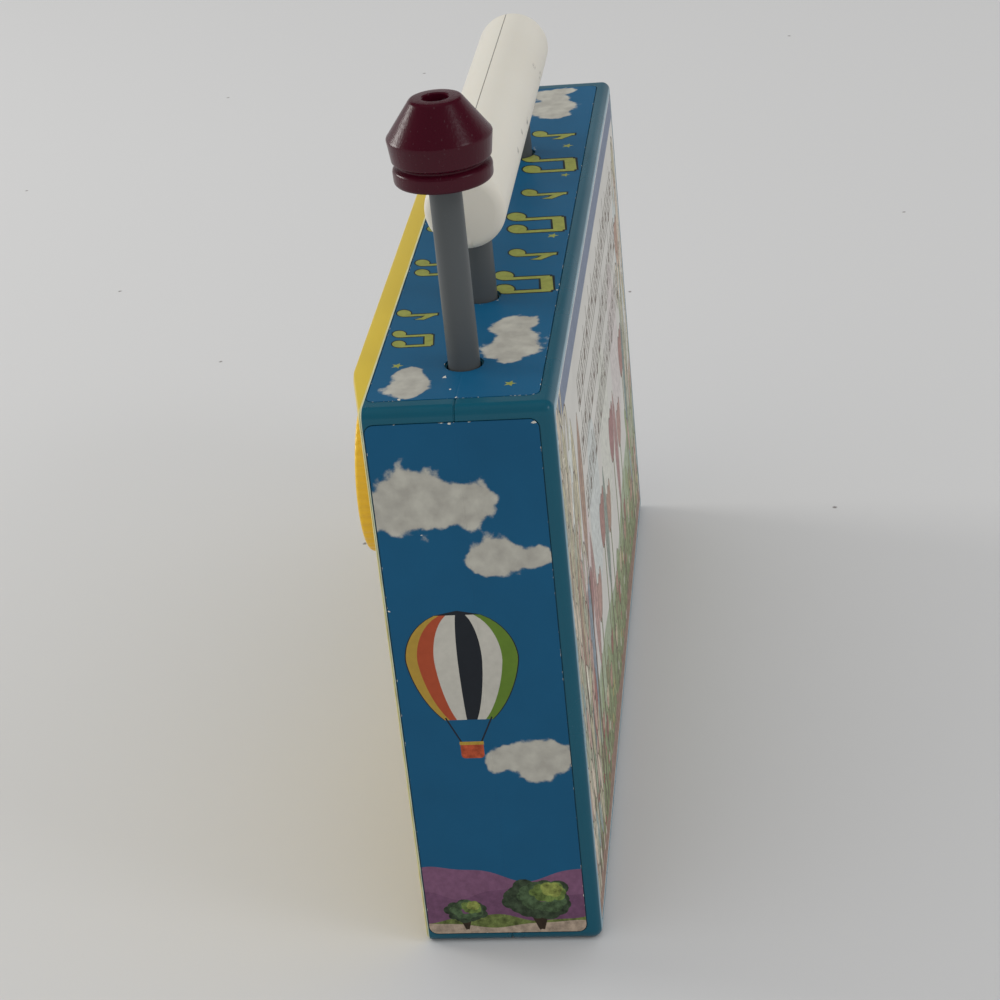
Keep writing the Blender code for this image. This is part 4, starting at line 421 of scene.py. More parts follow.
def upright_hole(x, radius, low, high):
    """A round hole down through the case's joint plane."""
    return skin([[(u, v, z) for u, v in circle((x, SEAM_Y), radius, 48)] for z in (low, high)])


POST_X = (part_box("handle_post_right")[0].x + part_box("handle_post_right")[1].x) / 2
MAST_X = (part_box("antenna_mast")[0].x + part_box("antenna_mast")[1].x) / 2
halves = []
front_levels = soft_end(FRONT_Y, 1) + soft_end(FRONT_HALF_Y, -1)[::-1]
front_levels.append((TONGUE_INSET, FRONT_HALF_Y))
front_levels.append((TONGUE_INSET, FRONT_HALF_Y + TONGUE_REACH))
rear_levels = soft_end(REAR_HALF_Y, 1)
for turn in range(0, 91, 9):
    angle = math.radians(turn)
    rear_levels.append((REAR_EDGE * (1 - math.cos(angle)), BACK_Y - REAR_EDGE * (1 - math.sin(angle))))
for name, node, levels, hollow in (
    ("case_front_half", "front_shell", front_levels, (FRONT_Y + CASE_WALL, FRONT_HALF_Y + PAST)),
    ("case_rear_half", "rear_shell", rear_levels, (REAR_HALF_Y - PAST, BACK_Y - CASE_WALL)),
):
    shell = skin([facing_y(case_outline(inset), y) for inset, y in levels])
    half = piece(name, shell, teal_plastic, node)
    inside = 2 * (HALF_LENGTH - CASE_WALL)
    inner = rounded(inside, TOP_Z - 2 * CASE_WALL, INNER_CORNER, centre=(0.0, TOP_Z / 2))
    carve(half, skin([facing_y(inner, y) for y in hollow]))
    for label in ("top_label", "left_end_label", "right_end_label"):
        carve(half, label_pocket(label))
    for x, radius in ((-POST_X, POST_HOLE), (POST_X, POST_HOLE), (MAST_X, MAST_HOLE)):
        carve(half, upright_hole(x, radius, TOP_Z - HOLE_DEPTH, TOP_Z + PAST))
    halves.append(half)

panel_low, panel_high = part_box("back_panel")
panel_edge = rounded(
    panel_high.x - panel_low.x + 2 * POCKET_GAP,
    panel_high.z - panel_low.z + 2 * POCKET_GAP,
    PANEL_CORNER + POCKET_GAP,
    centre=(0.0, TOP_Z / 2),
)
carve(halves[1], skin([facing_y(panel_edge, y) for y in (BACK_Y - PANEL_POCKET, BACK_Y + PAST)]))


# The front moulding
# A raised yellow polystyrene face whose borders slope down to the case's edge. It is moulded in
# one piece with the flared screen opening, the round recess of the dial and the sound slots.
BEZEL_LOW, BEZEL_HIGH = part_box("front_bezel")
BEZEL_CORNER = 2.0 * MM
SIDE_SLOPE = 23.0 * MM
FOOT_SLOPE = 10.0 * MM
SLOPE_SHARES = (0.012, 0.5, 0.9, 0.95, 0.98, 1.0)
EASE_START_SHARE = 0.88
EASE_SPAN_SHARE = 0.12
EASE_SAG_SHARE = 0.02
SIDE_EASE = 1.2 * MM
FOOT_EASE = 0.6 * MM
SIDE_HOLLOW = 11.0 * MM
FOOT_HOLLOW = 5.2 * MM
RIM_DEPTH = 0.3 * MM
RIM_BREAK = 0.05 * MM
RIM_STEP = 0.02 * MM
BACK_ROUND = 0.2 * MM
FACE_Y = BEZEL_LOW.y
BEZEL_BACK_Y = BEZEL_HIGH.y
RIM_Y = BEZEL_BACK_Y - RIM_DEPTH
TOP_ROUND = 0.8 * MM
BEZEL_WALL = 2.0 * MM
LIP_ROUND = 0.7 * MM
PANE_LOW, PANE_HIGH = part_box("screen_pane")
PANE_LAP = 3.0 * MM
SCREEN_CORNER = 10.0 * MM
SCREEN_FLARE = 4.0 * MM
FLARE_SHARE = 0.9
SCREEN_CENTRE = ((PANE_LOW.x + PANE_HIGH.x) / 2, (PANE_LOW.z + PANE_HIGH.z) / 2)
SCREEN_WIDTH = PANE_HIGH.x - PANE_LOW.x - 2 * PANE_LAP
SCREEN_HEIGHT = PANE_HIGH.z - PANE_LOW.z - 2 * PANE_LAP
PANE_SEAT_Y = PANE_LOW.y - FIT_GAP
DIAL_LOW, DIAL_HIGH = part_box("winding_dial")
DIAL_X = (DIAL_LOW.x + DIAL_HIGH.x) / 2
DIAL_Z = (DIAL_LOW.z + DIAL_HIGH.z) / 2
DIAL_RADIUS = 19.7 * MM
RECESS_GAP = 1.0 * MM
RECESS_CHAMFER = 0.4 * MM
SHAFT_HOLE = 2.6 * MM
SLOT_COUNT = 8
SLOT_WIDTH = 34.0 * MM
SLOT_HEIGHT = 3.0 * MM
SLOT_PITCH = 6.4 * MM
SLOT_LOWEST_Z = 25.0 * MM
SLOT_LIP_SHARE = 0.7
GRILLE_CORNER = 2.0 * MM
GRILLE_HOLE_CORNER = 1.5 * MM
YELLOW = "#DABF36"
YELLOW_SHADE = "#D2B42C"

# The same polystyrene in yellow, with a drier shine on its broad front.
yellow_plastic = moulded("yellow_polystyrene", YELLOW, YELLOW_SHADE, 0.33, scuff=0.4, shine=0.4)
# The pale line painted along the moulding's back rim is a painted highlight.
painted_edge_highlight(yellow_plastic, "#E0DDAC", BEZEL_BACK_Y - 0.2 * MM, BEZEL_BACK_Y - 0.45 * MM)


def bezel_outline(side, foot, head, radius):
    """The moulding's outline, drawn in at its sides, its foot and its head."""
    low = BEZEL_LOW.z + foot
    high = BEZEL_HIGH.z - head
    return rounded(2 * (BEZEL_HIGH.x - side), high - low, radius, centre=(0.0, (low + high) / 2))


def screen_outline(border, radius):
    """The screen's outline, grown by a border."""
    return rounded(SCREEN_WIDTH + 2 * border, SCREEN_HEIGHT + 2 * border, radius, centre=SCREEN_CENTRE)


def flared(border, y):
    """The screen's opening at a depth, grown with its corners by a border."""
    return facing_y(screen_outline(border, SCREEN_CORNER + border), y)


def lip():
    """How far a moulded lip spreads over its last stretch, as (depth before the face, spread)."""
    spots = []
    for turn in range(0, 91, 15):
        angle = math.radians(turn)
        spots.append((LIP_ROUND * (1 - math.sin(angle)), LIP_ROUND * (1 - math.cos(angle))))
    return spots


def bezel_body():
    """The moulding's outer form: a thin square rim, slopes that ease off, and a flat face."""
    rise = RIM_Y - FACE_Y
    levels = []
    for turn in (0, 30, 60, 90):
        angle = math.radians(turn)
        back = BACK_ROUND * (1 - math.sin(angle))
        levels.append((back, back, back, BEZEL_BACK_Y - BACK_ROUND * (1 - math.cos(angle))))
    levels.append((0.0, 0.0, 0.0, RIM_Y + RIM_BREAK))
    levels.append((RIM_BREAK, RIM_BREAK, 0.0, RIM_Y + RIM_STEP))
    for share in SLOPE_SHARES:
        ease = max(0.0, share - EASE_START_SHARE) / EASE_SPAN_SHARE
        depth = share * (1 - EASE_SAG_SHARE * ease * (1 - ease)) * rise
        side = SIDE_SLOPE * share + SIDE_EASE * ease**2
        foot = FOOT_SLOPE * share + FOOT_EASE * ease**2
        over = min(max(0.0, depth - (rise - TOP_ROUND)), TOP_ROUND)
        head = TOP_ROUND - math.sqrt(TOP_ROUND**2 - over**2)
        levels.append((side, foot, head, RIM_Y - depth))
    return skin([facing_y(bezel_outline(s, f, h, BEZEL_CORNER), y) for s, f, h, y in levels])


bezel = piece("front_moulding", bezel_body(), yellow_plastic, "front_bezel")
hollow = []
for y in (FACE_Y + BEZEL_WALL, BEZEL_BACK_Y + PAST):
    share = (RIM_Y - y) / (RIM_Y - FACE_Y)
    side = SIDE_SLOPE * share + SIDE_HOLLOW
    foot = FOOT_SLOPE * share + FOOT_HOLLOW
    hollow.append(facing_y(bezel_outline(side, foot, BEZEL_WALL, BEZEL_CORNER), y))
carve(bezel, skin(hollow))


def ring_y(centre, radius, y, steps=96):
    """A circle stood upright at a depth."""
    return facing_y(circle(centre, radius, steps), y)


def slot_outline(index, border):
    """One sound slot with fully round ends, grown by a border."""
    centre = (DIAL_X, SLOT_LOWEST_Z + SLOT_PITCH * index)
    height = SLOT_HEIGHT + 2 * border
    radius = SLOT_HEIGHT / 2 + border - 0.01 * MM
    return rounded(SLOT_WIDTH + 2 * border, height, radius, 8, centre)


dial_centre = (DIAL_X, DIAL_Z)
inner_skin = FACE_Y + BEZEL_WALL / 2
frame_edge = screen_outline(PANE_LAP + FIT_GAP + BEZEL_WALL, SCREEN_CORNER)
carve(bezel, skin([facing_y(frame_edge, y) for y in (inner_skin, BEZEL_BACK_Y)]), "UNION")
recess_wall = DIAL_RADIUS + RECESS_GAP + BEZEL_WALL
carve(bezel, skin([ring_y(dial_centre, recess_wall, y) for y in (inner_skin, BEZEL_BACK_Y)]), "UNION")
grille_height = SLOT_PITCH * (SLOT_COUNT - 1) + SLOT_HEIGHT + 2 * BEZEL_WALL
grille_middle = (DIAL_X, SLOT_LOWEST_Z + SLOT_PITCH * (SLOT_COUNT - 1) / 2)
grille = rounded(SLOT_WIDTH + 2 * BEZEL_WALL, grille_height, GRILLE_CORNER, centre=grille_middle)
carve(bezel, skin([facing_y(grille, y) for y in (inner_skin, BEZEL_BACK_Y)]), "UNION")

behind = BEZEL_BACK_Y + PAST
opening = [flared(0.0, behind), flared(0.0, PANE_SEAT_Y)]
opening.append(flared(SCREEN_FLARE * FLARE_SHARE, FACE_Y + LIP_ROUND * 0.8))
for depth, spread in lip():
    if depth < LIP_ROUND * 0.7:
        opening.append(flared(SCREEN_FLARE + spread, FACE_Y + depth))
opening.append(flared(SCREEN_FLARE + LIP_ROUND, FACE_Y - PAST))
carve(bezel, skin(opening))
rebate = screen_outline(PANE_LAP + FIT_GAP, SCREEN_CORNER)
carve(bezel, skin([facing_y(rebate, y) for y in (PANE_SEAT_Y, behind)]))

floor_y = DIAL_HIGH.y + FIT_GAP
recess = [ring_y(dial_centre, DIAL_RADIUS + RECESS_GAP - RECESS_CHAMFER, floor_y)]
recess.append(ring_y(dial_centre, DIAL_RADIUS + RECESS_GAP, floor_y - RECESS_CHAMFER))
for depth, spread in lip():
    recess.append(ring_y(dial_centre, DIAL_RADIUS + RECESS_GAP + spread, FACE_Y + depth))
recess.append(ring_y(dial_centre, DIAL_RADIUS + RECESS_GAP + LIP_ROUND, FACE_Y - PAST))
carve(bezel, skin(recess))
carve(bezel, skin([ring_y(dial_centre, SHAFT_HOLE, y, 32) for y in (floor_y - PAST, behind)]))
for index in range(SLOT_COUNT):
    slot = [facing_y(slot_outline(index, 0.0), behind)]
    for depth, spread in lip():
        slot.append(facing_y(slot_outline(index, spread * SLOT_LIP_SHARE), FACE_Y + depth))
    slot.append(facing_y(slot_outline(index, LIP_ROUND * SLOT_LIP_SHARE), FACE_Y - PAST))
    carve(bezel, skin(slot))
smooth(bezel, 28)

window = screen_outline(FIT_GAP, SCREEN_CORNER)
grille_hole = rounded(
    SLOT_WIDTH, grille_height - 2 * BEZEL_WALL, GRILLE_HOLE_CORNER, centre=grille_middle
)
for hole in (window, grille_hole, circle(dial_centre, SHAFT_HOLE, 32)):
    carve(halves[0], skin([facing_y(hole, y) for y in (FRONT_Y - PAST, FRONT_Y + CASE_WALL + PAST)]))
for half in halves:
    smooth(half, 28)


# The screen pane
# A sheet of clear polystyrene dropped into the rebate behind the yellow face, with the hairline
# scratches that a wiped plastic window gets.
PANE_BREAK = 0.2 * MM


def clear_sheet(name):
    """Clear polystyrene: water-clear with a high shine, and faint wiping scratches."""
    made, tree, shader, place = new_finish(name)
    wiped = {"Vector": place, "Rotation": (0.0, 0.6, 0.0), "Scale": (1.0, 1.0, 30.0)}
    along = add(tree, "Mapping", wiped)
    scratch = add(tree, "TexNoise", {"Vector": along, "Scale": 1 / (14 * MM), "Detail": 3.0})
    scratch = add(tree, "MapRange", {0: scratch, 1: 0.62, 2: 0.7, 3: 0.04, 4: 0.16})
    feed(tree, shader, {"Base Color": linear("#F4F7F6"), "Roughness": scratch})
    feed(tree, shader, {"IOR": 1.59, "Transmission Weight": 1.0})
    path = add(tree, "LightPath")
    gone = add(tree, "BsdfTransparent", {"Color": linear("#F2F5F4")})
    choice = add(tree, "MixShader", {0: path.outputs["Is Shadow Ray"], 1: shader, 2: gone})
    tree.links.new(choice.outputs[0], tree.nodes["Material Output"].inputs["Surface"])
    return made


pane_levels = []
for inset, y in (
    (PANE_BREAK, PANE_LOW.y),
    (0.0, PANE_LOW.y + PANE_BREAK),
    (0.0, PANE_HIGH.y - PANE_BREAK),
    (PANE_BREAK, PANE_HIGH.y),
):
    pane_levels.append(facing_y(screen_outline(PANE_LAP - inset, SCREEN_CORNER - FIT_GAP), y))
pane = piece("clear_pane", skin(pane_levels), clear_sheet("clear_polystyrene"), "screen_pane")
smooth(pane)


# The end labels
# Paper printed in offset inks under a thin varnish, glued into a pocket on each end: a painted sky
# over hills, with a balloon on the right and a kite on the left. It creases at the case's joint.
PAPER_WHITE = "#C9C6BA"
CLOUD_SHADE = "#A29F96"
CLOUD_CROWN = "#B7B5AA"
CLOUD_POINTS = 1.3  # the spacing of the points that shape a cloud, in millimetres
CLOUD_REACH_SHARES = (0.75, 0.95)
CREASE_DEPTH = 0.05 * MM
CREASE_LINES = (-0.35, 0.0, 0.35)
CREASE_MARGIN = 0.8
WEAR_MARGIN = 0.5
BORDER_STEPS = 6
END_LOW, END_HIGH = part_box("right_end_label")
END_SPAN = (END_LOW.y / MM, END_HIGH.y / MM)
END_FOOT = (END_LOW.z + FOOT_MARGIN) / MM
END_HEAD = END_HIGH.z / MM
SKY = "#135377"
PURPLE = "#74506A"
PURPLE_SHADE = "#694761"
SAND = "#A1907F"
GRASS = "#5F6A3A"
PILLAR_RED = "#A2492E"
MUSTARD = "#A98A3A"
LEAF = "#5E7A2C"
NIGHT = "#20242A"
CHALK = "#B9B6AC"


def offset_print(name, roughness, shine):
    """Coated paper in offset inks: a slightly uneven ink film, dabbed tones where the picture was
    painted, cottony clouds, a paper tooth under the varnish, and white paper where edges chipped."""
    made, tree, shader, place = new_finish(name)
    ink = add(tree, "Attribute", attribute_name="ink")
    worn = add(tree, "Attribute", attribute_name="wear").outputs["Fac"]
    mist = add(tree, "Attribute", attribute_name="mist").outputs["Fac"]
    film = add(tree, "TexNoise", {"Vector": place, "Scale": 1 / (16 * MM), "Detail": 4.0})
    film = add(tree, "MapRange", {0: film, 1: 0.25, 2: 0.75, 3: 0.93, 4: 1.05})
    brush = {"Vector": place, "Scale": 1 / (1.7 * MM), "Detail": 5.0, "Roughness": 0.62}
    dabs = add(tree, "TexNoise", brush)
    dabs = add(tree, "MapRange", {0: dabs, 1: 0.32, 2: 0.68, 3: 0.4, 4: 1.7})
    painted = add(tree, "Mix", {0: ink.outputs["Alpha"], 2: film, 3: dabs}, data_type="FLOAT")
    tone = add(tree, "VectorMath", {0: ink.outputs["Color"], 3: painted}, operation="SCALE")
    wool = {"Vector": place, "Scale": 1 / (4.0 * MM), "Detail": 4.0, "Roughness": 0.5}
    cotton = add(tree, "TexNoise", wool)
    puffs = add(tree, "Math", {0: cotton, 1: 0.9, 2: -0.45}, operation="MULTIPLY_ADD")
    puffs = add(tree, "Math", {0: puffs, 1: mist}, operation="ADD")
    cover = add(tree, "MapRange", {0: puffs, 1: 0.32, 2: 0.52}, interpolation_type="SMOOTHSTEP")
    crown = add(tree, "MapRange", {0: cotton, 1: 0.35, 2: 0.68})
    heap = {0: crown, 6: linear(CLOUD_SHADE), 7: linear(CLOUD_CROWN)}
    white = add(tree, "Mix", heap, data_type="RGBA").outputs[2]
    tone = add(tree, "Mix", {0: cover, 6: tone, 7: white}, data_type="RGBA").outputs[2]
    chips = add(tree, "TexNoise", {"Vector": place, "Scale": 1 / (1.6 * MM), "Detail": 3.0})
    nibble = add(tree, "Math", {0: worn, 1: 0.32, 2: -0.32}, operation="MULTIPLY_ADD")
    nibble = add(tree, "Math", {0: chips, 1: nibble}, operation="ADD")
    bare = add(tree, "MapRange", {0: nibble, 1: 0.6, 2: 0.64, 3: 0.0, 4: 1.0})
    tone = add(tree, "Mix", {0: bare, 6: tone, 7: linear(PAPER_WHITE)}, data_type="RGBA").outputs[2]
    gloss = add(tree, "MapRange", {0: bare, 1: 0.0, 2: 1.0, 3: roughness, 4: 0.85})
    tooth = add(tree, "TexNoise", {"Vector": place, "Scale": 1 / (0.7 * MM), "Detail": 3.0})
    wave = add(tree, "TexNoise", {"Vector": place, "Scale": 1 / (22 * MM), "Detail": 1.0})
    low = add(tree, "Bump", {"Height": wave, "Strength": 0.35, "Distance": 0.25 * MM})
    grain = {"Height": tooth, "Strength": 0.25, "Distance": 0.03 * MM, "Normal": low}
    feed(tree, shader, {"Base Color": tone, "Roughness": gloss, "Normal": add(tree, "Bump", grain)})
    feed(tree, shader, {"IOR": 1.5, "Specular IOR Level": shine})
    return made


def anticlockwise(loop):
    """The same outline, run the way round that encloses its inside."""
    ahead = loop[1:] + loop[:1]
    turned_area = sum(a[0] * b[1] - b[0] * a[1] for a, b in zip(loop, ahead))
    return loop if turned_area > 0 else loop[::-1]


def stepped(loop):
    """The same outline with its long straight stretches cut into short steps."""
    points = []
    for start, end in zip(loop, loop[1:] + loop[:1]):
        steps = max(1, int(math.dist(start, end) / CLOUD_POINTS))
        points += [tuple(Vector(start).lerp(Vector(end), i / steps)) for i in range(steps)]
    return points


def cloud_lobes(u, v, width, height, seed):
    """The soft round heaps that make up a cloud."""
    draw = random.Random(seed)
    lean = draw.choice((-1, 1))
    lobes = [(u + lean * width * 0.16, v + height * 0.02, height * 0.5)]
    for along in (-0.42, -0.27, -0.08, 0.12, 0.34, 0.45):
        size = height * draw.uniform(0.22, 0.34)
        lobes.append((u - lean * along * width, v + height * draw.uniform(-0.2, 0.12), size))
    return lobes


def sheet(
    name, node, slot, material, border, holes, shapes, ground, clouds, place, thickness,
    lines=(), folded=None,
):
    """Builds a printed sheet from outlines in millimetres. Its face is divided along the edge of
    every printed shape, and the ink of the last shape printed over a spot is what shows there.
    A shape is (outline, ink, how dabbed it is), and one without ink only divides the face."""
    loops = [anticlockwise(loop) for loop in (border, *holes, *(shape[0] for shape in shapes))]
    if clouds:
        loops = [stepped(loop) for loop in loops]
    points = []
    areas = []
    for loop in loops:
        areas.append(list(range(len(points), len(points) + len(loop))))
        points += [Vector(point) for point in loop]
    first_shape = 1 + len(holes)
    border_points = set(range(sum(len(loop) for loop in loops[:first_shape])))
    rules = []
    for start, end in lines:
        start, end = Vector(start), Vector(end)
        steps = max(1, int((end - start).length / CLOUD_POINTS)) if clouds else 1
        rules += [(len(points) + i, len(points) + i + 1) for i in range(steps)]
        points += [start.lerp(end, i / steps) for i in range(steps + 1)]
    draw = random.Random(7)
    lobes = [lobe for cloud in clouds for lobe in cloud_lobes(*cloud)]
    for u, v, width, height, _ in clouds:
        reach_u, reach_v = CLOUD_REACH_SHARES[0] * width, CLOUD_REACH_SHARES[1] * height
        for i in range(int(2 * reach_u / CLOUD_POINTS)):
            for j in range(int(2 * reach_v / CLOUD_POINTS)):
                a = u - reach_u + (i + draw.uniform(0.1, 0.9)) * CLOUD_POINTS
                b = v - reach_v + (j + draw.uniform(0.1, 0.9)) * CLOUD_POINTS
                points.append(Vector((a, b)))
    flat, _, triangles, origins, _, owners = delaunay_2d_cdt(points, rules, areas, 0, 1e-4)
    bm = bmesh.new()
    ink_layer = bm.loops.layers.float_color.new("ink")
    wear_layer = bm.verts.layers.float.new("wear")
    mist_layer = bm.verts.layers.float.new("mist")
    tops, bottoms = [], []
    for (u, v), roots in zip(flat, origins):
        sunk = CREASE_DEPTH if folded and folded(u, v) else 0.0
        tops.append(bm.verts.new(place(u * MM, v * MM, -sunk)))
        bottoms.append(bm.verts.new(place(u * MM, v * MM, -thickness)))
        tops[-1][wear_layer] = 1.0 if any(root in border_points for root in roots) else 0.0
        bottoms[-1][wear_layer] = 0.8
        heaps = [math.exp(-2 * ((u - a) ** 2 + (v - b) ** 2) / r**2) for a, b, r in lobes]
        tops[-1][mist_layer] = math.sqrt(sum(heaps))
    sides = {}
    white = linear(PAPER_WHITE)[:3]
    edge_ink = linear(ground)[:3] if isinstance(ground, str) else white
    for corners, inside in zip(triangles, owners):
        if 0 not in inside or any(0 < owner < first_shape for owner in inside):
            continue
        shown = [owner - first_shape for owner in inside if owner >= first_shape]
        shown = [number for number in shown if shapes[number][1]]
        ink, dabbed = shapes[max(shown)][1:] if shown else (ground, 0.0)
        face = bm.faces.new([tops[i] for i in corners])
        for loop, corner in zip(face.loops, corners):
            colour = ink(*flat[corner]) if callable(ink) else linear(ink)[:3]
            loop[ink_layer] = (*colour, dabbed)
        under = bm.faces.new([bottoms[i] for i in reversed(corners)])
        for a, b in zip(corners, corners[1:] + corners[:1]):
            sides.setdefault((min(a, b), max(a, b)), []).append((a, b))
        for loop in under.loops:
            loop[ink_layer] = (*white, 0.0)
    for uses in sides.values():
        if len(uses) == 1:
            a, b = uses[0]
            wall = bm.faces.new((tops[b], tops[a], bottoms[a], bottoms[b]))
            for loop in wall.loops:
                loop[ink_layer] = (*edge_ink, 0.0)
    bmesh.ops.delete(bm, geom=[vert for vert in bm.verts if not vert.link_faces], context="VERTS")
    bmesh.ops.recalc_face_normals(bm, faces=bm.faces)
    return piece(name, bm, material, node)


def sheet_border(u_span, v_span, inset=0.0):
    """A sheet's outline in millimetres, drawn in by an inset."""
    return spanning(u_span, v_span, LABEL_CORNER - inset * 0.6, -inset, BORDER_STEPS)


def disc(u, v, radius, steps=28, squash=1.0, tilt=0.0):
    """A round or oval patch of ink."""
    points = []
    for i in range(steps):
        turn = math.tau * i / steps
        a, b = radius * math.cos(turn), radius * squash * math.sin(turn)
        along = u + a * math.cos(tilt) - b * math.sin(tilt)
        points.append((along, v + a * math.sin(tilt) + b * math.cos(tilt)))
    return points


def bar(start, end, width):
    """A straight stroke of ink."""
    (u1, v1), (u2, v2) = start, end
    length = math.hypot(u2 - u1, v2 - v1)
    a, b = -(v2 - v1) / length * width / 2, (u2 - u1) / length * width / 2
    return [(u1 + a, v1 + b), (u1 - a, v1 - b), (u2 - a, v2 - b), (u2 + a, v2 + b)]


def chip(u, v, size, seed):
    """A torn spot where the white of the paper shows."""
    draw = random.Random(seed)
    points = []
    for i in range(7):
        turn = math.tau * i / 7
        reach = size * draw.uniform(0.35, 1.0)
        points.append((u + reach * math.cos(turn), v + 0.6 * reach * math.sin(turn)))
    return [(points, PAPER_WHITE, 0.2)]


def hills(foot, crest, swing, wave, start, ink, left, right, dabbed=0.25, steps=60):
    """A band of rolling ground up to a wavy crest."""
    top = []
    for i in range(steps + 1):
        u = left + (right - left) * i / steps
        rise = math.sin(start + wave * (u - left)) + 0.3 * math.sin(start * 2.3 + 2.4 * wave * (u - left))
        top.append((u, crest + swing * rise))
    return [(top + [(right, foot), (left, foot)], ink, dabbed)]


def leafy_tree(u, v, size, seed):
    """A round leafy tree: a forked trunk, a dark crown of many dabs and a sunlit side."""
    draw = random.Random(seed)
    shapes = []
    for lean in (-0.2, -0.05, 0.14):
        root = (u + 0.02 * lean, v - 0.02 * size)
        shapes.append((bar(root, (u + lean * size, v + 0.5 * size), 0.09 * size), "#33291F", 0.4))
    for spread, lift, shift, ink, count in (
        (0.5, 0.6, 0.0, "#34402F", 15),
        (0.38, 0.66, 0.05, "#42543A", 12),
        (0.24, 0.74, 0.16, "#5C6E38", 8),
        (0.14, 0.8, 0.24, "#7A8242", 5),
    ):
        for i in range(count):
            turn = math.tau * i / count
            a = u + size * (spread * math.cos(turn) * draw.uniform(0.6, 1.0) + shift)
            b = v + size * (lift + spread * 0.58 * math.sin(turn) * draw.uniform(0.8, 1.1))
            reach = size * (0.07 + 0.2 * spread) * draw.uniform(0.8, 1.2)
            shapes.append((disc(a, b, reach, 14, 0.8), ink, 1.0))
    return shapes


def balloon(u, v, size):
    """A hot-air balloon: upright gores in four inks, its ropes and its basket."""
    outline = []
    for i in range(27):
        height = 1.0 - 2.25 * i / 26
        if height > 0.0:
            outline.append((height, math.sqrt(max(0.0, 1 - height * height))))
        else:
            outline.append((height, math.sqrt(max(0.0, 1 - (height / 1.45) ** 2)) * (1 + 0.12 * height)))
    rim = [(u + (w + 0.02) * size, v + h * size) for h, w in outline]
    rim += [(u - (w + 0.02) * size, v + h * size) for h, w in reversed(outline)]
    shapes = [(rim, NIGHT, 0.2)]
    edges = (1.0, 0.72, 0.36, -0.08, -0.5, -0.8, -1.0)
    for right, left, ink in zip(edges, edges[1:], (LEAF, CHALK, NIGHT, CHALK, PILLAR_RED, MUSTARD)):
        gore = [(u + w * right * size, v + h * size) for h, w in outline]
        gore += [(u + w * left * size, v + h * size) for h, w in reversed(outline)]
        shapes.append((gore[1:-1], ink, 0.08))
    for side in (-1, 1):
        skirt = (u + side * 0.42 * size, v - 1.2 * size)
        rope = bar(skirt, (u + side * 0.17 * size, v - 1.75 * size), 0.03 * size)
        shapes.append((rope, NIGHT, 0.0))
    basket = rounded(0.42 * size, 0.34 * size, 0.07 * size, 3, (u, v - 1.9 * size))
    rail = bar((u - 0.22 * size, v - 1.75 * size), (u + 0.22 * size, v - 1.75 * size), 0.07 * size)
    shapes.append((basket, PILLAR_RED, 0.7))
    shapes.append((rail, MUSTARD, 0.3))
    return shapes


def kite(u, v, size):
    """A diamond kite in four inks with a bowed tail."""
    top, right = (u, v + size), (u + 0.68 * size, v + 0.15 * size)
    foot, left = (u, v - size), (u - 0.68 * size, v + 0.15 * size)
    middle = (u, v + 0.15 * size)
    shapes = []
    for corners, ink in (
        ((top, right, middle), PILLAR_RED),
        ((right, foot, middle), MUSTARD),
        ((foot, left, middle), NIGHT),
        ((left, top, middle), CHALK),
    ):
        shapes.append((list(corners), ink, 0.2))
    shapes.append((bar(top, foot, 0.05 * size), NIGHT, 0.0))
    shapes.append((bar(left, right, 0.05 * size), NIGHT, 0.0))
    tail = []
    for i in range(15):
        tail.append((u + 0.3 * size * math.sin(2.2 * math.pi * i / 14), v - size - 1.8 * size * i / 14))
    for start, end in zip(tail, tail[1:]):
        shapes.append((bar(start, end, 0.045 * size), CHALK, 0.0))
    for i in (4, 8, 12):
        a, b = tail[i]
        for side in (-1, 1):
            tip = a + side * 0.22 * size
            bow = [(a, b), (tip, b + 0.12 * size), (tip, b - 0.12 * size)]
            shapes.append((bow, LEAF, 0.2))
    return shapes


def end_sheet(name, node, side, motif, clouds, trees, phase):
    """An end label, drawn as seen from outside with its low side first."""
    span = END_SPAN if side > 0 else (-END_SPAN[1], -END_SPAN[0])
    past = (span[0] - 1, span[1] + 1)
    shapes = [(sheet_border(span, (END_FOOT, END_HEAD), WEAR_MARGIN), None, 0.0)]
    shapes += motif
    for crest, swing, wave, start, ink, dabbed in (
        (18.5, 2.2, 0.15, 0.0, PURPLE, 0.25),
        (12.5, 1.6, 0.22, 2.0, PURPLE_SHADE, 0.25),
        (4.6, 1.1, 0.2, 4.0, GRASS, 0.9),
        (2.6, 0.8, 0.17, 1.0, SAND, 0.5),
    ):
        shapes += hills(END_FOOT - 1, END_FOOT + crest, swing, wave, phase + start, ink, *past, dabbed)
    for u, v, size, seed in trees:
        shapes += leafy_tree(u, v, size, seed)
    chips = ((2.9, 146.4, 0.7, 1), (22.2, 145.9, 0.9, 2), (-6.5, 118.0, 0.4, 3), (-16.6, 98.0, 0.6, 4))
    for u, v, size, seed in chips:
        shapes += chip(side * u, v, size, seed)
    fold = side * SEAM_Y / MM
    low, high = END_FOOT + CREASE_MARGIN, END_HEAD - CREASE_MARGIN
    lines = [((fold + offset, low), (fold + offset, high)) for offset in CREASE_LINES]

    def place(u, v, out):
        """A spot of the drawing on the case, a little out from its face."""
        return Vector((side * (END_HIGH.x + out), side * u, v))

    def folded(u, v):
        """Whether a spot lies in the fold."""
        return abs(u - fold) < 1e-3

    border = sheet_border(span, (END_FOOT, END_HEAD))
    deep = END_HIGH.x - END_LOW.x
    drawing = (border, [], shapes, SKY, clouds, place, deep, lines, folded)
    return sheet(name, node, "printed_paper", label_print, *drawing)


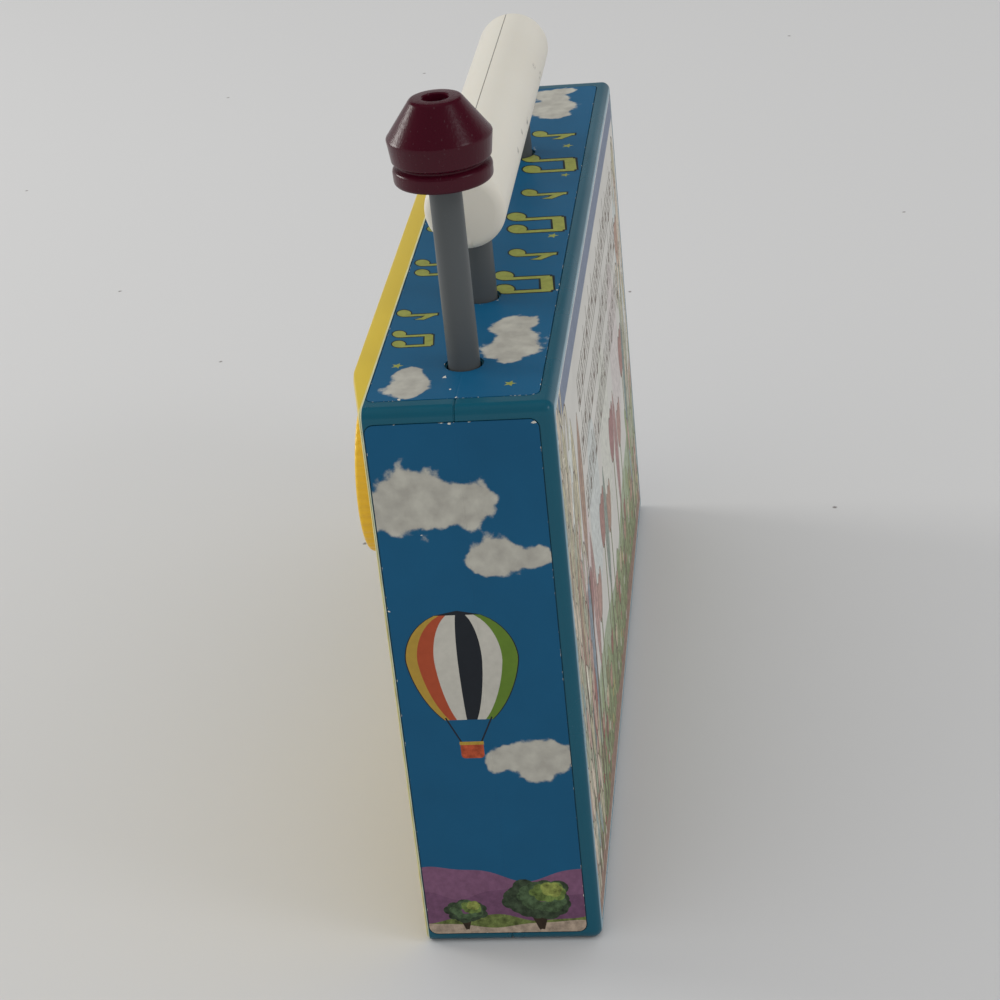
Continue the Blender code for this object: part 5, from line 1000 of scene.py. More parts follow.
# Thin varnish over the ink leaves only a soft sheen, so the sky stays deep from most sides.
label_print = offset_print("offset_printed_label", 0.48, 0.15)
right_clouds = [(-4.0, 127.0, 24.0, 17.0, 3), (13.0, 111.5, 17.0, 11.0, 8), (13.0, 55.0, 18.0, 12.0, 5)]
right_trees = [(12.0, 4.4, 15.0, 4), (-7.0, 4.6, 9.0, 9)]
left_clouds = [(5.0, 131.0, 24.0, 16.0, 6), (-14.0, 115.0, 16.0, 11.0, 12), (-13.0, 58.0, 18.0, 12.0, 17)]
left_trees = [(-11.0, 4.6, 14.0, 24), (9.0, 4.8, 9.0, 19)]
right_motif = balloon(-0.5, 84.0, 13.5)
left_motif = kite(-1.0, 92.0, 13.0)
end_sheet("right_end_sheet", "right_end_label", 1, right_motif, right_clouds, right_trees, 0.6)
end_sheet("left_end_sheet", "left_end_label", -1, left_motif, left_clouds, left_trees, 2.4)


# The top label
# A long strip of the same sky, punched with clearance holes for the handle's posts and the
# antenna, with yellow music notes and small stars between the clouds.
TOP_LOW, TOP_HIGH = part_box("top_label")
TOP_SKY = "#10587E"
NOTE_YELLOW = "#8F9448"
NOTE_EDGE = "#1B2226"
POST_CLEARANCE = 4.9
MAST_CLEARANCE = 4.7
CREASE_FROM = 100.0


def note(u, v, size, beamed):
    """A stout quaver, or two joined by a beam, in yellow with a dark edge."""
    shapes = []
    heads = [(u - 0.36 * size, v), (u + 0.36 * size, v + 0.08 * size)] if beamed else [(u, v)]
    for grow, ink in ((0.045 * size, NOTE_EDGE), (0.0, NOTE_YELLOW)):
        stems = []
        for a, b in heads:
            shapes.append((disc(a, b, 0.25 * size + grow, 22, 0.74, 0.45), ink, 0.2))
            foot = (a + 0.18 * size, b + 0.05 * size - grow)
            stems.append((a + 0.18 * size, b + 0.95 * size))
            stem = bar(foot, (stems[-1][0], stems[-1][1] + grow), 0.13 * size + 2 * grow)
            shapes.append((stem, ink, 0.2))
        if beamed:
            left = (stems[0][0] - grow, stems[0][1] - 0.07 * size)
            right = (stems[1][0] + grow, stems[1][1] - 0.07 * size)
            shapes.append((bar(left, right, 0.24 * size + 2 * grow), ink, 0.2))
        else:
            a, b = stems[0]
            flag = [(a, b + grow), (a + 0.34 * size + grow, b - 0.34 * size)]
            flag += [(a + 0.3 * size, b - 0.6 * size - grow), (a + 0.2 * size, b - 0.42 * size - grow)]
            flag.append((a, b - 0.3 * size - grow))
            shapes.append((flag, ink, 0.2))
    return shapes


def star(u, v, size, ink):
    """A five-pointed star."""
    points = []
    for i in range(10):
        radius = size if i % 2 == 0 else 0.42 * size
        turn = math.pi / 2 + math.tau * i / 10
        points.append((u + radius * math.cos(turn), v + radius * math.sin(turn)))
    return [(points, ink, 0.2)]


top_u = (TOP_LOW.x / MM, TOP_HIGH.x / MM)
top_v = (TOP_LOW.y / MM, TOP_HIGH.y / MM)
top_shapes = [(sheet_border(top_u, top_v, WEAR_MARGIN), None, 0.0)]
for u, v, size, beamed in (
    (-70.0, 9.0, 11.0, False),
    (-44.0, 8.0, 13.0, True),
    (-20.0, 10.0, 11.0, False),
    (3.0, 8.0, 13.0, True),
    (25.0, 10.5, 11.0, False),
    (45.0, 8.5, 12.5, True),
    (-24.0, -14.0, 9.5, True),
    (4.0, -14.0, 9.0, False),
    (32.0, -14.0, 9.5, True),
    (62.0, -14.5, 9.0, False),
    (78.0, -14.0, 8.5, True),
):
    top_shapes += note(u, v, size, beamed)
for u, v, size in (
    (-104.0, -10.0, 2.2),
    (-58.0, 18.0, 1.8),
    (-33.0, 19.0, 1.5),
    (14.0, 19.0, 1.7),
    (34.0, 1.0, 1.5),
    (84.0, 18.5, 1.7),
    (107.0, 16.0, 1.6),
    (-8.0, -9.0, 1.4),
    (94.0, -12.0, 1.6),
):
    top_shapes += star(u, v, size, NOTE_YELLOW)
for u, v, size, seed in (
    (113.3, -9.1, 0.8, 5),
    (108.6, 2.3, 0.6, 6),
    (51.9, 22.9, 0.7, 7),
    (101.6, 0.2, 1.1, 8),
    (113.2, 4.2, 0.6, 9),
):
    top_shapes += chip(u, v, size, seed)
top_clouds = [
    (-98.0, 11.0, 26.0, 15.0, 41),
    (-66.0, -10.0, 22.0, 12.0, 44),
    (82.0, 15.0, 24.0, 14.0, 47),
    (104.0, -8.0, 15.0, 11.0, 52),
]
top_fold = SEAM_Y / MM
top_holes = []
for x, radius in ((-POST_X, POST_CLEARANCE), (POST_X, POST_CLEARANCE), (MAST_X, MAST_CLEARANCE)):
    top_holes.append(circle((x / MM, top_fold), radius, 40))


def on_top(u, v, out):
    """A spot of the drawing on the case's top, a little out from it."""
    return Vector((u, v, TOP_HIGH.z + out))


def folded_top(u, v):
    """Whether a spot lies in the fold, which shows only past the antenna."""
    return abs(v - top_fold) < 1e-3 and u > CREASE_FROM + 1


crease_ends = (CREASE_FROM, top_u[1] - CREASE_MARGIN)
top_lines = [tuple((u, top_fold + offset) for u in crease_ends) for offset in CREASE_LINES]
top_border = sheet_border(top_u, top_v)
top_deep = TOP_HIGH.z - TOP_LOW.z
top_drawing = (top_border, top_holes, top_shapes, TOP_SKY, top_clouds, on_top, top_deep)
sheet("top_sheet", "top_label", "printed_paper", label_print, *top_drawing, top_lines, folded_top)


# The back panel
# A white printed card let into the rear face: bars of music in brown line above a meadow of tall
# flowers. Its upper edge has a narrow tinted band.
CARD_WHITE = "#D2D0CA"
CARD_LINE = "#665749"
CARD_EDGE = "#DAD9D4"
CARD_EDGE_WIDTH = 0.6
STAVE_LEFT = -62.0
STAVE_RIGHT = 92.0
STAVE_FOOT = 91.0
STAVE_PITCH = 15.0
LINE_PITCH = 2.1
BAR_LENGTH = 38.5
BEAT_PITCH = 11.1
BED_FOOT = 10.0
# A stiffer card with a drier varnish: a little rougher, and brighter where the light grazes it.
card_print = offset_print("offset_printed_card", 0.55, 0.3)
back_u = (-panel_high.x / MM, -panel_low.x / MM)
back_v = (panel_low.z / MM, panel_high.z / MM)
back_past = (back_u[0] - 1, back_u[1] + 1)
back_shapes = [(sheet_border(back_u, back_v, WEAR_MARGIN), None, 0.0)]
tinted_band = rounded(back_u[1] - back_u[0] + 2, 8.0, 0.5, 1, (0.0, back_v[1] - 3.7))
back_shapes.append((tinted_band, "#778298", 0.2))
for u, v, reach, squash, ink in (
    (-106.0, 88.0, 44.0, 0.3, "#E2DDCC"),
    (-90.0, 104.0, 26.0, 0.42, "#D3D6D0"),
    (-72.0, 76.0, 24.0, 0.5, "#CEC3C0"),
    (-40.0, 84.0, 24.0, 0.7, "#C8CCC9"),
    (6.0, 82.0, 26.0, 0.7, "#CDCDC4"),
    (58.0, 84.0, 28.0, 0.6, "#CCC5C2"),
    (98.0, 94.0, 28.0, 0.4, "#C6CCCA"),
):
    back_shapes.append((disc(u, v, reach, 40, squash, math.pi / 2), ink, 0.3))
draw = random.Random(60)
for stave in range(3):
    foot = STAVE_FOOT + stave * STAVE_PITCH
    for line in range(5):
        rise = foot + line * LINE_PITCH
        back_shapes.append((bar((STAVE_LEFT, rise), (STAVE_RIGHT, rise), 0.5), CARD_LINE, 0.2))
    for side in range(5):
        u = STAVE_LEFT + side * BAR_LENGTH
        back_shapes.append((bar((u, foot), (u, foot + 4 * LINE_PITCH), 0.7), CARD_LINE, 0.2))
    for beat in range(14):
        u = STAVE_LEFT + 4.0 + beat * BEAT_PITCH
        v = foot + draw.randint(0, 6) * LINE_PITCH / 2
        back_shapes.append((disc(u, v, 1.9, 14, 0.72, 0.4), CARD_LINE, 0.2))
        back_shapes.append((bar((u + 1.5, v), (u + 1.5, v + 7.4), 0.8), CARD_LINE, 0.2))
for crest, swing, wave, start, ink, dabbed in (
    (44.0, 5.0, 0.034, 0.4, "#A3AE94", 0.35),
    (33.0, 3.5, 0.05, 2.0, "#87946E", 0.5),
    (20.0, 2.5, 0.06, 3.6, "#7B8760", 0.7),
    (11.0, 1.5, 0.08, 1.2, "#94786A", 0.6),
):
    back_shapes += hills(back_v[0] - 1, crest, swing, wave, start, ink, *back_past, dabbed)


def tall_flower(u, v, height, size, ink, seed):
    """A tall garden flower in brown outline: a stem, two long leaves and three petals."""
    draw = random.Random(seed)
    sway = draw.uniform(-4.0, 4.0)
    shapes = []
    for width, tint in ((2.2, CARD_LINE), (1.3, "#8A8F62")):
        shapes.append((bar((u, v), (u + sway, v + height), width), tint, 0.3))
    for side, lift in ((-1, 0.3), (1, 0.42)):
        for grow, tint in ((0.5, CARD_LINE), (0.0, "#93A078")):
            middle = (u + side * height * 0.13, v + height * lift)
            leaf = disc(*middle, height * 0.2 + grow, 24, 0.24, math.pi / 2 - side * 0.6)
            shapes.append((leaf, tint, 0.4))
    for lean in (-0.5, 0.5, 0.0):
        for grow, tint in ((0.5, CARD_LINE), (0.0, ink)):
            heart = (u + sway + lean * size, v + height)
            petal = disc(*heart, size + grow, 26, 0.55, math.pi / 2 - lean * 0.7)
            shapes.append((petal, tint, 0.45))
    return shapes


for u, height, size, ink, seed in (
    (-108.0, 88.0, 7.8, "#AE9080", 1),
    (-97.0, 62.0, 7.0, "#A37A72", 2),
    (-86.0, 52.0, 6.0, "#B08C82", 3),
    (-72.0, 60.0, 7.6, "#A07674", 4),
    (-50.0, 48.0, 6.4, "#B39288", 5),
    (-26.0, 58.0, 7.4, "#A47C74", 6),
    (0.0, 50.0, 6.6, "#AE9080", 7),
    (28.0, 60.0, 7.8, "#A07674", 8),
    (54.0, 50.0, 6.6, "#B08C82", 9),
    (80.0, 62.0, 7.4, "#A47C74", 10),
    (100.0, 92.0, 8.0, "#AE9080", 11),
):
    back_shapes += tall_flower(u, BED_FOOT + 2, height, size, ink, seed)
for step in range(24):
    u = back_u[0] + 6.0 + step * 9.6
    ink = ("#B08C7C", "#9C6A60", "#C1B59A", "#8F8A6A")[step % 4]
    back_shapes += tall_flower(u, BED_FOOT, 15.0 + 9.0 * ((step * 7) % 5) / 4, 3.2, ink, 100 + step)


def ribbon(spots, width):
    """A stroke of even width along a row of points."""
    left, right = [], []
    for i, (u, v) in enumerate(spots):
        (u1, v1), (u2, v2) = spots[max(i - 1, 0)], spots[min(i + 1, len(spots) - 1)]
        length = math.hypot(u2 - u1, v2 - v1)
        a, b = -(v2 - v1) / length * width / 2, (u2 - u1) / length * width / 2
        left.append((u + a, v + b))
        right.append((u - a, v - b))
    return left + right[::-1]


def tall_leaf(foot, tip, breadth, ink):
    """A long pointed leaf on a stalk, in brown outline and with a midrib."""
    (u1, v1), (u2, v2) = foot, tip
    shapes = [(ribbon([(u1, BED_FOOT + 1), (u1, v1 + 4.0)], 2.0), CARD_LINE, 0.4)]
    for grow, tint in ((0.6, CARD_LINE), (0.0, ink)):
        edge = []
        for side in (1, -1):
            for i in range(16):
                share = i / 15 if side > 0 else 1 - i / 15
                half = (breadth + grow) * math.sin(math.pi * min(max(share, 0.012), 0.988)) ** 0.8
                rise = v1 - grow + (v2 - v1 + 2 * grow) * share
                edge.append((u1 + (u2 - u1) * share**2 + side * half, rise))
        shapes.append((edge, tint, 0.55))
    rib = [(u1 + (u2 - u1) * share**2, v1 + (v2 - v1) * share) for share in (0.0, 0.3, 0.6, 0.9)]
    shapes.append((ribbon(rib, 0.6), CARD_LINE, 0.5))
    return shapes


def vine(u, v, height, sway, seed):
    """A climbing stem in brown outline with a hooked tip and long leaves."""
    draw = random.Random(seed)
    spots = []
    for i in range(25):
        share = i / 24
        spots.append((u + sway * math.sin(share * 7.5 + seed) * (0.4 + 0.6 * share), v + height * share))
    a, b = spots[-1]
    side = 1 if u < 0 else -1
    for i in range(1, 13):
        turn = i / 12 * 3.9
        spots.append((a + side * 3.6 * (1 - math.cos(turn)), b + 7.0 * math.sin(turn)))
    shapes = [(ribbon(spots, 3.0), CARD_LINE, 0.4), (ribbon(spots, 1.8), "#C6C0AC", 0.4)]
    for i in range(2, 24, 3):
        side = draw.choice((-1, 1))
        ink = draw.choice(("#A4A892", "#8E9E9A", "#CDBFAC", "#B89A8E", "#B5AF92"))
        for grow, tint in ((0.8, CARD_LINE), (0.0, ink)):
            middle = (spots[i][0] + side * 2.9, spots[i][1] + 4.5)
            leaf = disc(*middle, 7.4 + grow, 22, 0.26, math.pi / 2 - side * 0.34)
            shapes.append((leaf, tint, 0.5))
    return shapes


for u, low, high, lean, breadth, ink in (
    (-92.0, 16.0, 82.0, 3.0, 4.4, "#7B8F8B"),
    (-99.0, 16.0, 70.0, -3.0, 4.0, "#93A28A"),
    (-78.0, 32.0, 86.0, 2.0, 4.4, "#8694A0"),
    (-84.0, 34.0, 64.0, -1.0, 6.0, "#A06C66"),
    (-60.0, 44.0, 86.0, -2.0, 5.2, "#B0908A"),
    (-14.0, 42.0, 80.0, 2.0, 5.0, "#8E9A90"),
    (40.0, 40.0, 80.0, -2.0, 5.2, "#A98582"),
    (88.0, 32.0, 84.0, 2.0, 4.4, "#7B8F8B"),
    (-106.0, 78.0, 126.0, 2.0, 3.6, "#C6BAA2"),
    (-100.0, 66.0, 112.0, -1.5, 3.4, "#A98D7C"),
    (-94.0, 58.0, 116.0, 1.5, 3.4, "#B5A88C"),
    (-84.0, 92.0, 130.0, -2.0, 4.4, "#C6BEA2"),
    (-72.0, 82.0, 124.0, 2.0, 5.4, "#A98D7C"),
):
    back_shapes += tall_leaf((u, low), (u + lean, high), breadth, ink)
for u, height, sway, seed in (
    (-113.5, 126.0, 1.0, 31),
    (-110.5, 133.0, 0.6, 39),
    (-108.0, 112.0, 1.6, 36),
    (-102.0, 122.0, 1.4, 32),
    (-93.0, 100.0, 1.8, 33),
    (-85.0, 76.0, 2.2, 37),
    (92.0, 84.0, 2.6, 34),
    (103.0, 112.0, 2.0, 38),
    (112.0, 118.0, 1.2, 35),
):
    back_shapes += vine(u, BED_FOOT - 1, height, sway, seed)
draw = random.Random(80)
for _ in range(46):
    u = draw.uniform(back_u[0] + 4, back_u[1] - 4)
    v = draw.uniform(BED_FOOT, BED_FOOT + 20)
    ink = draw.choice(("#A9706F", "#9C4E48", "#B5A66A", "#C3BFB4"))
    for petal in range(5):
        turn = math.tau * petal / 5
        back_shapes.append((disc(u + 0.9 * math.cos(turn), v + 0.9 * math.sin(turn), 0.65, 10), ink, 0.2))


margin = CARD_EDGE_WIDTH / 2
for start, end in (
    ((back_u[0], back_v[0] + margin), (back_u[1], back_v[0] + margin)),
    ((back_u[0], back_v[1] - margin), (back_u[1], back_v[1] - margin)),
    ((back_u[0] + margin, back_v[0]), (back_u[0] + margin, back_v[1])),
    ((back_u[1] - margin, back_v[0]), (back_u[1] - margin, back_v[1])),
):
    back_shapes.append((bar(start, end, CARD_EDGE_WIDTH), CARD_EDGE, 0.1))


def on_back(u, v, out):
    """A spot of the drawing, seen from behind, a little out from the card's seat."""
    return Vector((-u, panel_high.y + out, v))


back_border = sheet_border(back_u, back_v)
back_deep = panel_high.y - panel_low.y
back_drawing = (back_border, [], back_shapes, CARD_WHITE, [], on_back, back_deep)
sheet("back_card", "back_panel", "printed_back", card_print, *back_drawing)


# The handle
# A thick ivory grip that a child's hand closes round, cast over two grey posts which are trapped
# between the case halves. A parting line runs along it, and its rear side is scuffed.
GRIP_LOW, GRIP_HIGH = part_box("handle_grip")
GRIP_Z = (GRIP_LOW.z + GRIP_HIGH.z) / 2
GRIP_RADIUS = 9.95 * MM
GRIP_HALF = GRIP_HIGH.x
GRIP_FILLET = 3.2 * MM
GRIP_CROWN = 0.6 * MM
GRIP_HOLE = 4.3 * MM
GRIP_HOLE_RISE = 1.3 * MM
PARTING_TURNS = (97.5, 277.5)
PARTING_WIDTH = 1.0
PARTING_CLEAR = 2.5
PARTING_DEPTH = 0.2 * MM
PARTING_SHADE_AND_GRIME = 0.85
IVORY = "#DFDBCF"
IVORY_SHADE = "#D6D1C4"
GREY = "#54585A"
GREY_SHADE = "#4D5152"
POST_RADIUS = 4.0 * MM
POST_SOFT = 0.35 * MM
FLANGE_SEAT = 3.0 * MM
FLANGE_DEPTH = 3.0 * MM


def grip_ring(radius, x):
    """A ring round the grip, with two fine notches where the mould parted."""
    turns = [float(i) for i in range(0, 360, 4)]
    for parting in PARTING_TURNS:
        turns = [t for t in turns if abs(t - parting) > PARTING_CLEAR]
        turns += [parting - PARTING_WIDTH, parting, parting + PARTING_WIDTH]
    points = []
    for turn in sorted(turns):
        notch = PARTING_DEPTH if turn in PARTING_TURNS else 0.0
        size = max(radius - notch, 0.05 * MM)
        angle = math.radians(turn)
        points.append((x, SEAM_Y + size * math.cos(angle), GRIP_Z + size * math.sin(angle)))
    return points


end_profile = [(0.4 * MM, GRIP_HALF), (4.0 * MM, GRIP_HALF - 0.1 * MM)]
for turn in range(90, -1, -10):
    angle = math.radians(turn)
    across = GRIP_RADIUS - GRIP_FILLET + GRIP_FILLET * math.cos(angle)
    end_profile.append((across, GRIP_HALF - GRIP_CROWN - GRIP_FILLET + GRIP_FILLET * math.sin(angle)))


def nicked(material, spots):
    """Dark nicks: short smudges broken up by a fine noise, each (x, y, z, length) in millimetres."""
    tree, shader, tone, place = finish_so_far(material)
    total = 0.0
    for x, y, z, length in spots:
        stretch = (1.0 / (length * MM), 1.0 / (0.5 * MM), 1.0 / (0.8 * MM))
        near = add(tree, "VectorMath", {0: place, 1: stretch}, operation="MULTIPLY")
        spot = (x * MM * stretch[0], y * MM * stretch[1], z * MM * stretch[2])
        away = add(tree, "VectorMath", {0: near, 1: spot}, operation="DISTANCE").outputs["Value"]
        mark = add(tree, "MapRange", {0: away, 1: 0.5, 2: 1.3, 3: 0.9, 4: 0.0})
        total = add(tree, "Math", {0: mark, 1: total}, operation="ADD")
    patchy = add(tree, "TexNoise", {"Vector": place, "Scale": 1 / (0.8 * MM), "Detail": 3.0})
    patchy = add(tree, "MapRange", {0: patchy, 1: 0.42, 2: 0.6})
    total = add(tree, "Math", {0: total, 1: patchy}, operation="MULTIPLY", use_clamp=True)
    tone = add(tree, "Mix", {0: total, 6: tone, 7: linear("#5C5750")}, data_type="RGBA").outputs[2]
    feed(tree, shader, {"Base Color": tone})


# Light sinks a little way into the ivory plastic, which makes it look thick and warm.
ivory_plastic = moulded("ivory_polystyrene", IVORY, IVORY_SHADE, 0.42, scuff=0.3, shine=0.4, glow=0.12)
nicks = (
    (-37.0, 14.0, 178.0, 2.6),
    (30.0, 13.9, 179.6, 1.1),
    (17.0, 13.8, 180.0, 1.3),
    (-32.6, 13.1, 182.1, 1.6),
    (4.0, 13.9, 178.6, 2.2),
)
nicked(ivory_plastic, nicks)
rings = [grip_ring(r, x) for r, x in end_profile]
rings += [grip_ring(GRIP_RADIUS, x * GRIP_HALF) for x in (0.6, 0.2, -0.2, -0.6)]
rings += [grip_ring(r, -x) for r, x in reversed(end_profile)]
grip = piece("grip", skin(rings), ivory_plastic, "handle_grip")
for x in (-POST_X, POST_X):
    carve(grip, upright_hole(x, GRIP_HOLE, GRIP_LOW.z - PAST, GRIP_Z + GRIP_HOLE_RISE))
smooth(grip, 30)
# The parting line's notch is painted dark: painted shade, with some grime.
parting_shade_and_grime = grip.data.attributes.new("shade_and_grime", "FLOAT", "POINT")
for vert, value in zip(grip.data.vertices, parting_shade_and_grime.data):
    across, upward = vert.co.y - SEAM_Y, vert.co.z - GRIP_Z
    off_line = abs(math.degrees(math.atan2(upward, across)) - PARTING_TURNS[0])
    on_line = off_line < 0.3 and math.hypot(across, upward) > 0.5 * GRIP_RADIUS
    value.value = PARTING_SHADE_AND_GRIME if on_line else 0.0

# Polythene is waxier than the case, so its highlights are broad and weak.
grey_plastic = moulded("grey_polythene", GREY, GREY_SHADE, 0.42, scuff=0.25, shine=0.3)


def turned(profile, x, steps=72):
    """A body turned about an upright axis through the case's joint plane."""
    rings = []
    for radius, z in profile:
        edge = circle((x, SEAM_Y), max(radius, 0.02 * MM), steps)
        rings.append([(u, v, z) for u, v in edge])
    return skin(rings)


def broken(radius, z, soft, inward):
    """An outer edge with a softly broken corner, from the end face to the side."""
    corner = []
    for turn in (90, 60, 30, 0):
        angle = math.radians(turn)
        corner.append((radius - soft * (1 - math.cos(angle)), z - inward * soft * (1 - math.sin(angle))))
    return corner


for name, node in (("post_left", "handle_post_left"), ("post_right", "handle_post_right")):
    low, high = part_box(node)
    flange = (high.x - low.x) / 2
    flange_low = low.z + FLANGE_SEAT
    flange_high = flange_low + FLANGE_DEPTH
    profile = [(0.0, low.z), *broken(POST_RADIUS, low.z, POST_SOFT, -1), (POST_RADIUS, flange_low)]
    profile += broken(flange, flange_low, POST_SOFT, -1)
    profile += broken(flange, flange_high, POST_SOFT, 1)[::-1]
    profile.append((POST_RADIUS, flange_high))
    profile += [*broken(POST_RADIUS, high.z, POST_SOFT, 1)[::-1], (0.0, high.z)]
    post = piece(name, turned(profile, (low.x + high.x) / 2), grey_plastic, node)
    smooth(post, 35)


# The antenna
# A thick grey mast that slides down into the case, with a maroon knob pressed on its top. The knob
# is turned in shape: two bands with a groove between them, a cone, and a blind hole in its flat top.
MAROON = "#430A1B"
MAROON_SHADE = "#3C0818"
MAST_RADIUS = 3.8 * MM
STEM_RADIUS = 3.0 * MM
SPIGOT_RADIUS = 2.7 * MM
mast_low, mast_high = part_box("antenna_mast")
knob_low, knob_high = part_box("antenna_knob")
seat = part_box("antenna_stop_collar")[1].z + FIT_GAP
shoulder = knob_low.z - FIT_GAP
profile = [(0.0, mast_low.z), *broken(STEM_RADIUS, mast_low.z, SOFT_EDGE, -1), (STEM_RADIUS, seat)]
profile += [(MAST_RADIUS, seat), (MAST_RADIUS, shoulder), (SPIGOT_RADIUS, shoulder)]
profile += [*broken(SPIGOT_RADIUS, mast_high.z, SOFT_EDGE, 1)[::-1], (0.0, mast_high.z)]
mast = piece("mast", turned(profile, MAST_X), grey_plastic, "antenna_mast")
smooth(mast, 35)

# Deep maroon polystyrene, whose faint upright ripples break up what its high shine mirrors.
knob_plastic = moulded(
    "maroon_polystyrene", MAROON, MAROON_SHADE, 0.25, scuff=0.5, shine=0.2, peel=2.6, grain=(4.0, 4.0, 0.55)
)
KNOB_FOOT = knob_low.z
KNOB_TOP = knob_high.z
KNOB_WIDE = (knob_high.x - knob_low.x) / 2
BAND = KNOB_WIDE - 0.7 * MM
BAND_TOP = KNOB_FOOT + 3.8 * MM
GROOVE_TOP = BAND_TOP + 1.4 * MM
WIDEST = GROOVE_TOP + 5.6 * MM
KNOB_FLAT = 5.8 * MM
KNOB_BORE = 3.05 * MM
SOCKET_RADIUS = 3.0 * MM
KNOB_BORE_DEPTH = 5.0 * MM
socket_end = mast_high.z + FIT_GAP
profile = [(0.0, socket_end), (SOCKET_RADIUS, socket_end), (SOCKET_RADIUS, KNOB_FOOT)]
groove = ((0.05, -0.9), (-0.03, -0.55), (-0.22, -0.22), (-0.55, 0.02), (-0.95, 0.16), (-1.25, 0.4))
groove += ((-1.3, 0.7), (-1.15, 1.0), (-0.6, 1.25), (-0.15, 1.42), (0.05, 1.65), (0.1, 2.0))
for radius, height, bends in (
    (BAND, KNOB_FOOT, ((-0.9, 0.0), (-0.35, 0.12), (-0.08, 0.45), (0.0, 0.9))),
    (BAND, BAND_TOP, groove),
    (KNOB_WIDE, WIDEST, ((-0.05, -0.7), (0.0, -0.35), (-0.12, 0.0), (-0.4, 0.35))),
    (KNOB_FLAT, KNOB_TOP, ((0.5, -0.55), (0.15, -0.18), (-0.3, 0.0))),
    (KNOB_BORE, KNOB_TOP, ((0.3, 0.0), (0.0, -0.3))),
):
    profile += [(radius + outward * MM, height + rise * MM) for outward, rise in bends]
profile += [(KNOB_BORE, KNOB_TOP - KNOB_BORE_DEPTH), (0.0, KNOB_TOP - KNOB_BORE_DEPTH)]
knob = piece("knob", turned(profile, MAST_X, 112), knob_plastic, "antenna_knob")
smooth(knob, 38)


# The winding dial
# A round yellow knob with a fluted rim, moulded like the face behind it. Two thumb scoops leave a
# bar across it to turn it by.
FLUTES = 45
FLUTE_DEPTH = 0.3 * MM
STEPS_PER_FLUTE = 8
RIB_ROUNDNESS = 1.1
SCOOP_BORDER = 3.6 * MM
SCOOP_DEPTH = 2.6 * MM
SCOOP_ROUND = 0.55 * MM
SCOOP_CORNER_TURN = 0.12
BAR_WIDTH = 9.0 * MM
DIAL_BORE = 2.3 * MM
DIAL_BORE_DEPTH = 4.6 * MM
# A richer yellow than the face behind it, with the same dry shine.
golden_plastic = moulded("golden_polystyrene", "#F0C42E", "#E8BA24", 0.33, scuff=0.4, shine=0.4)


def fluted(radius, depth, y):
    """A ring of the dial's rim: rounded ribs, with valleys of a given depth between them."""
    points = []
    count = FLUTES * STEPS_PER_FLUTE
    for i in range(count):
        turn = math.tau * i / count
        groove = abs(math.sin(turn * FLUTES / 2)) ** RIB_ROUNDNESS
        size = radius - depth * (1 - groove)
        points.append((DIAL_X + size * math.cos(turn), y, DIAL_Z + size * math.sin(turn)))
    return points


dial_rings = []
for inset, depth, y in (
    (1.1, 0.0, 0.0),
    (0.7, 0.02, 0.08),
    (0.3, 0.15, 0.3),
    (0.08, 0.6, 0.6),
    (0.0, 1.0, 1.0),
    (0.0, 1.0, 7.2),
    (0.25, 0.6, 7.6),
):
    dial_rings.append(fluted(DIAL_RADIUS - inset * MM, depth * FLUTE_DEPTH, DIAL_LOW.y + y * MM))
dial = piece("dial_knob", skin(dial_rings), golden_plastic, "winding_dial")


def scoop_outline(side, inset):
    """The part of a circle beyond the finger bar, with round corners."""
    radius = DIAL_RADIUS - SCOOP_BORDER - inset
    edge = BAR_WIDTH / 2 + inset
    reach = math.acos(edge / radius) - SCOOP_CORNER_TURN
    points = []
    for i in range(31):
        turn = -reach + 2 * reach * i / 30
        points.append((radius * math.cos(turn), radius * math.sin(turn)))
    last = radius * math.sin(reach)
    for share in (0.94, 0.82, 0.5, 0.0, -0.5, -0.82, -0.94):
        round_off = SCOOP_ROUND * max(0.0, abs(share) - 0.8) / 0.14
        points.append((edge + round_off, last * share))
    return [(DIAL_X + side * u, DIAL_Z + v) for u, v in points]


scoop_levels = (
    (-0.6 * MM, -PAST),
    (-0.6 * MM, 0.0),
    (-0.2 * MM, 0.15 * MM),
    (0.0, 0.5 * MM),
    (0.3 * MM, SCOOP_DEPTH - 0.8 * MM),
    (0.7 * MM, SCOOP_DEPTH - 0.2 * MM),
    (1.4 * MM, SCOOP_DEPTH),
)
for side in (-1, 1):
    scoop = [facing_y(scoop_outline(side, inset), DIAL_LOW.y + depth) for inset, depth in scoop_levels]
    carve(dial, skin(scoop))
bore_levels = (DIAL_HIGH.y - DIAL_BORE_DEPTH, DIAL_HIGH.y + PAST)
carve(dial, skin([ring_y(dial_centre, DIAL_BORE, y, 32) for y in bore_levels]))
smooth(dial, 34)


# The picture belt
# A loop of printed film on two white rollers, which the movement drives past the screen. Its
# picture is a plain meadow under the same sky.
belt_low, belt_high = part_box("picture_belt")
roller_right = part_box("belt_roller_right")
roller_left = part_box("belt_roller_left")
BELT_Y = (belt_low.y + belt_high.y) / 2
BELT_RADIUS = (belt_high.y - belt_low.y) / 2
BELT_THICKNESS = 0.4 * MM
BEND_STEPS = 18
FILM_SKY_HIGH = "#2A6A92"
FILM_SKY_LOW = "#5E94AE"
right_x = (roller_right[0].x + roller_right[1].x) / 2
left_x = (roller_left[0].x + roller_left[1].x) / 2
run = right_x - left_x
loop_length = 2 * run + math.tau * BELT_RADIUS


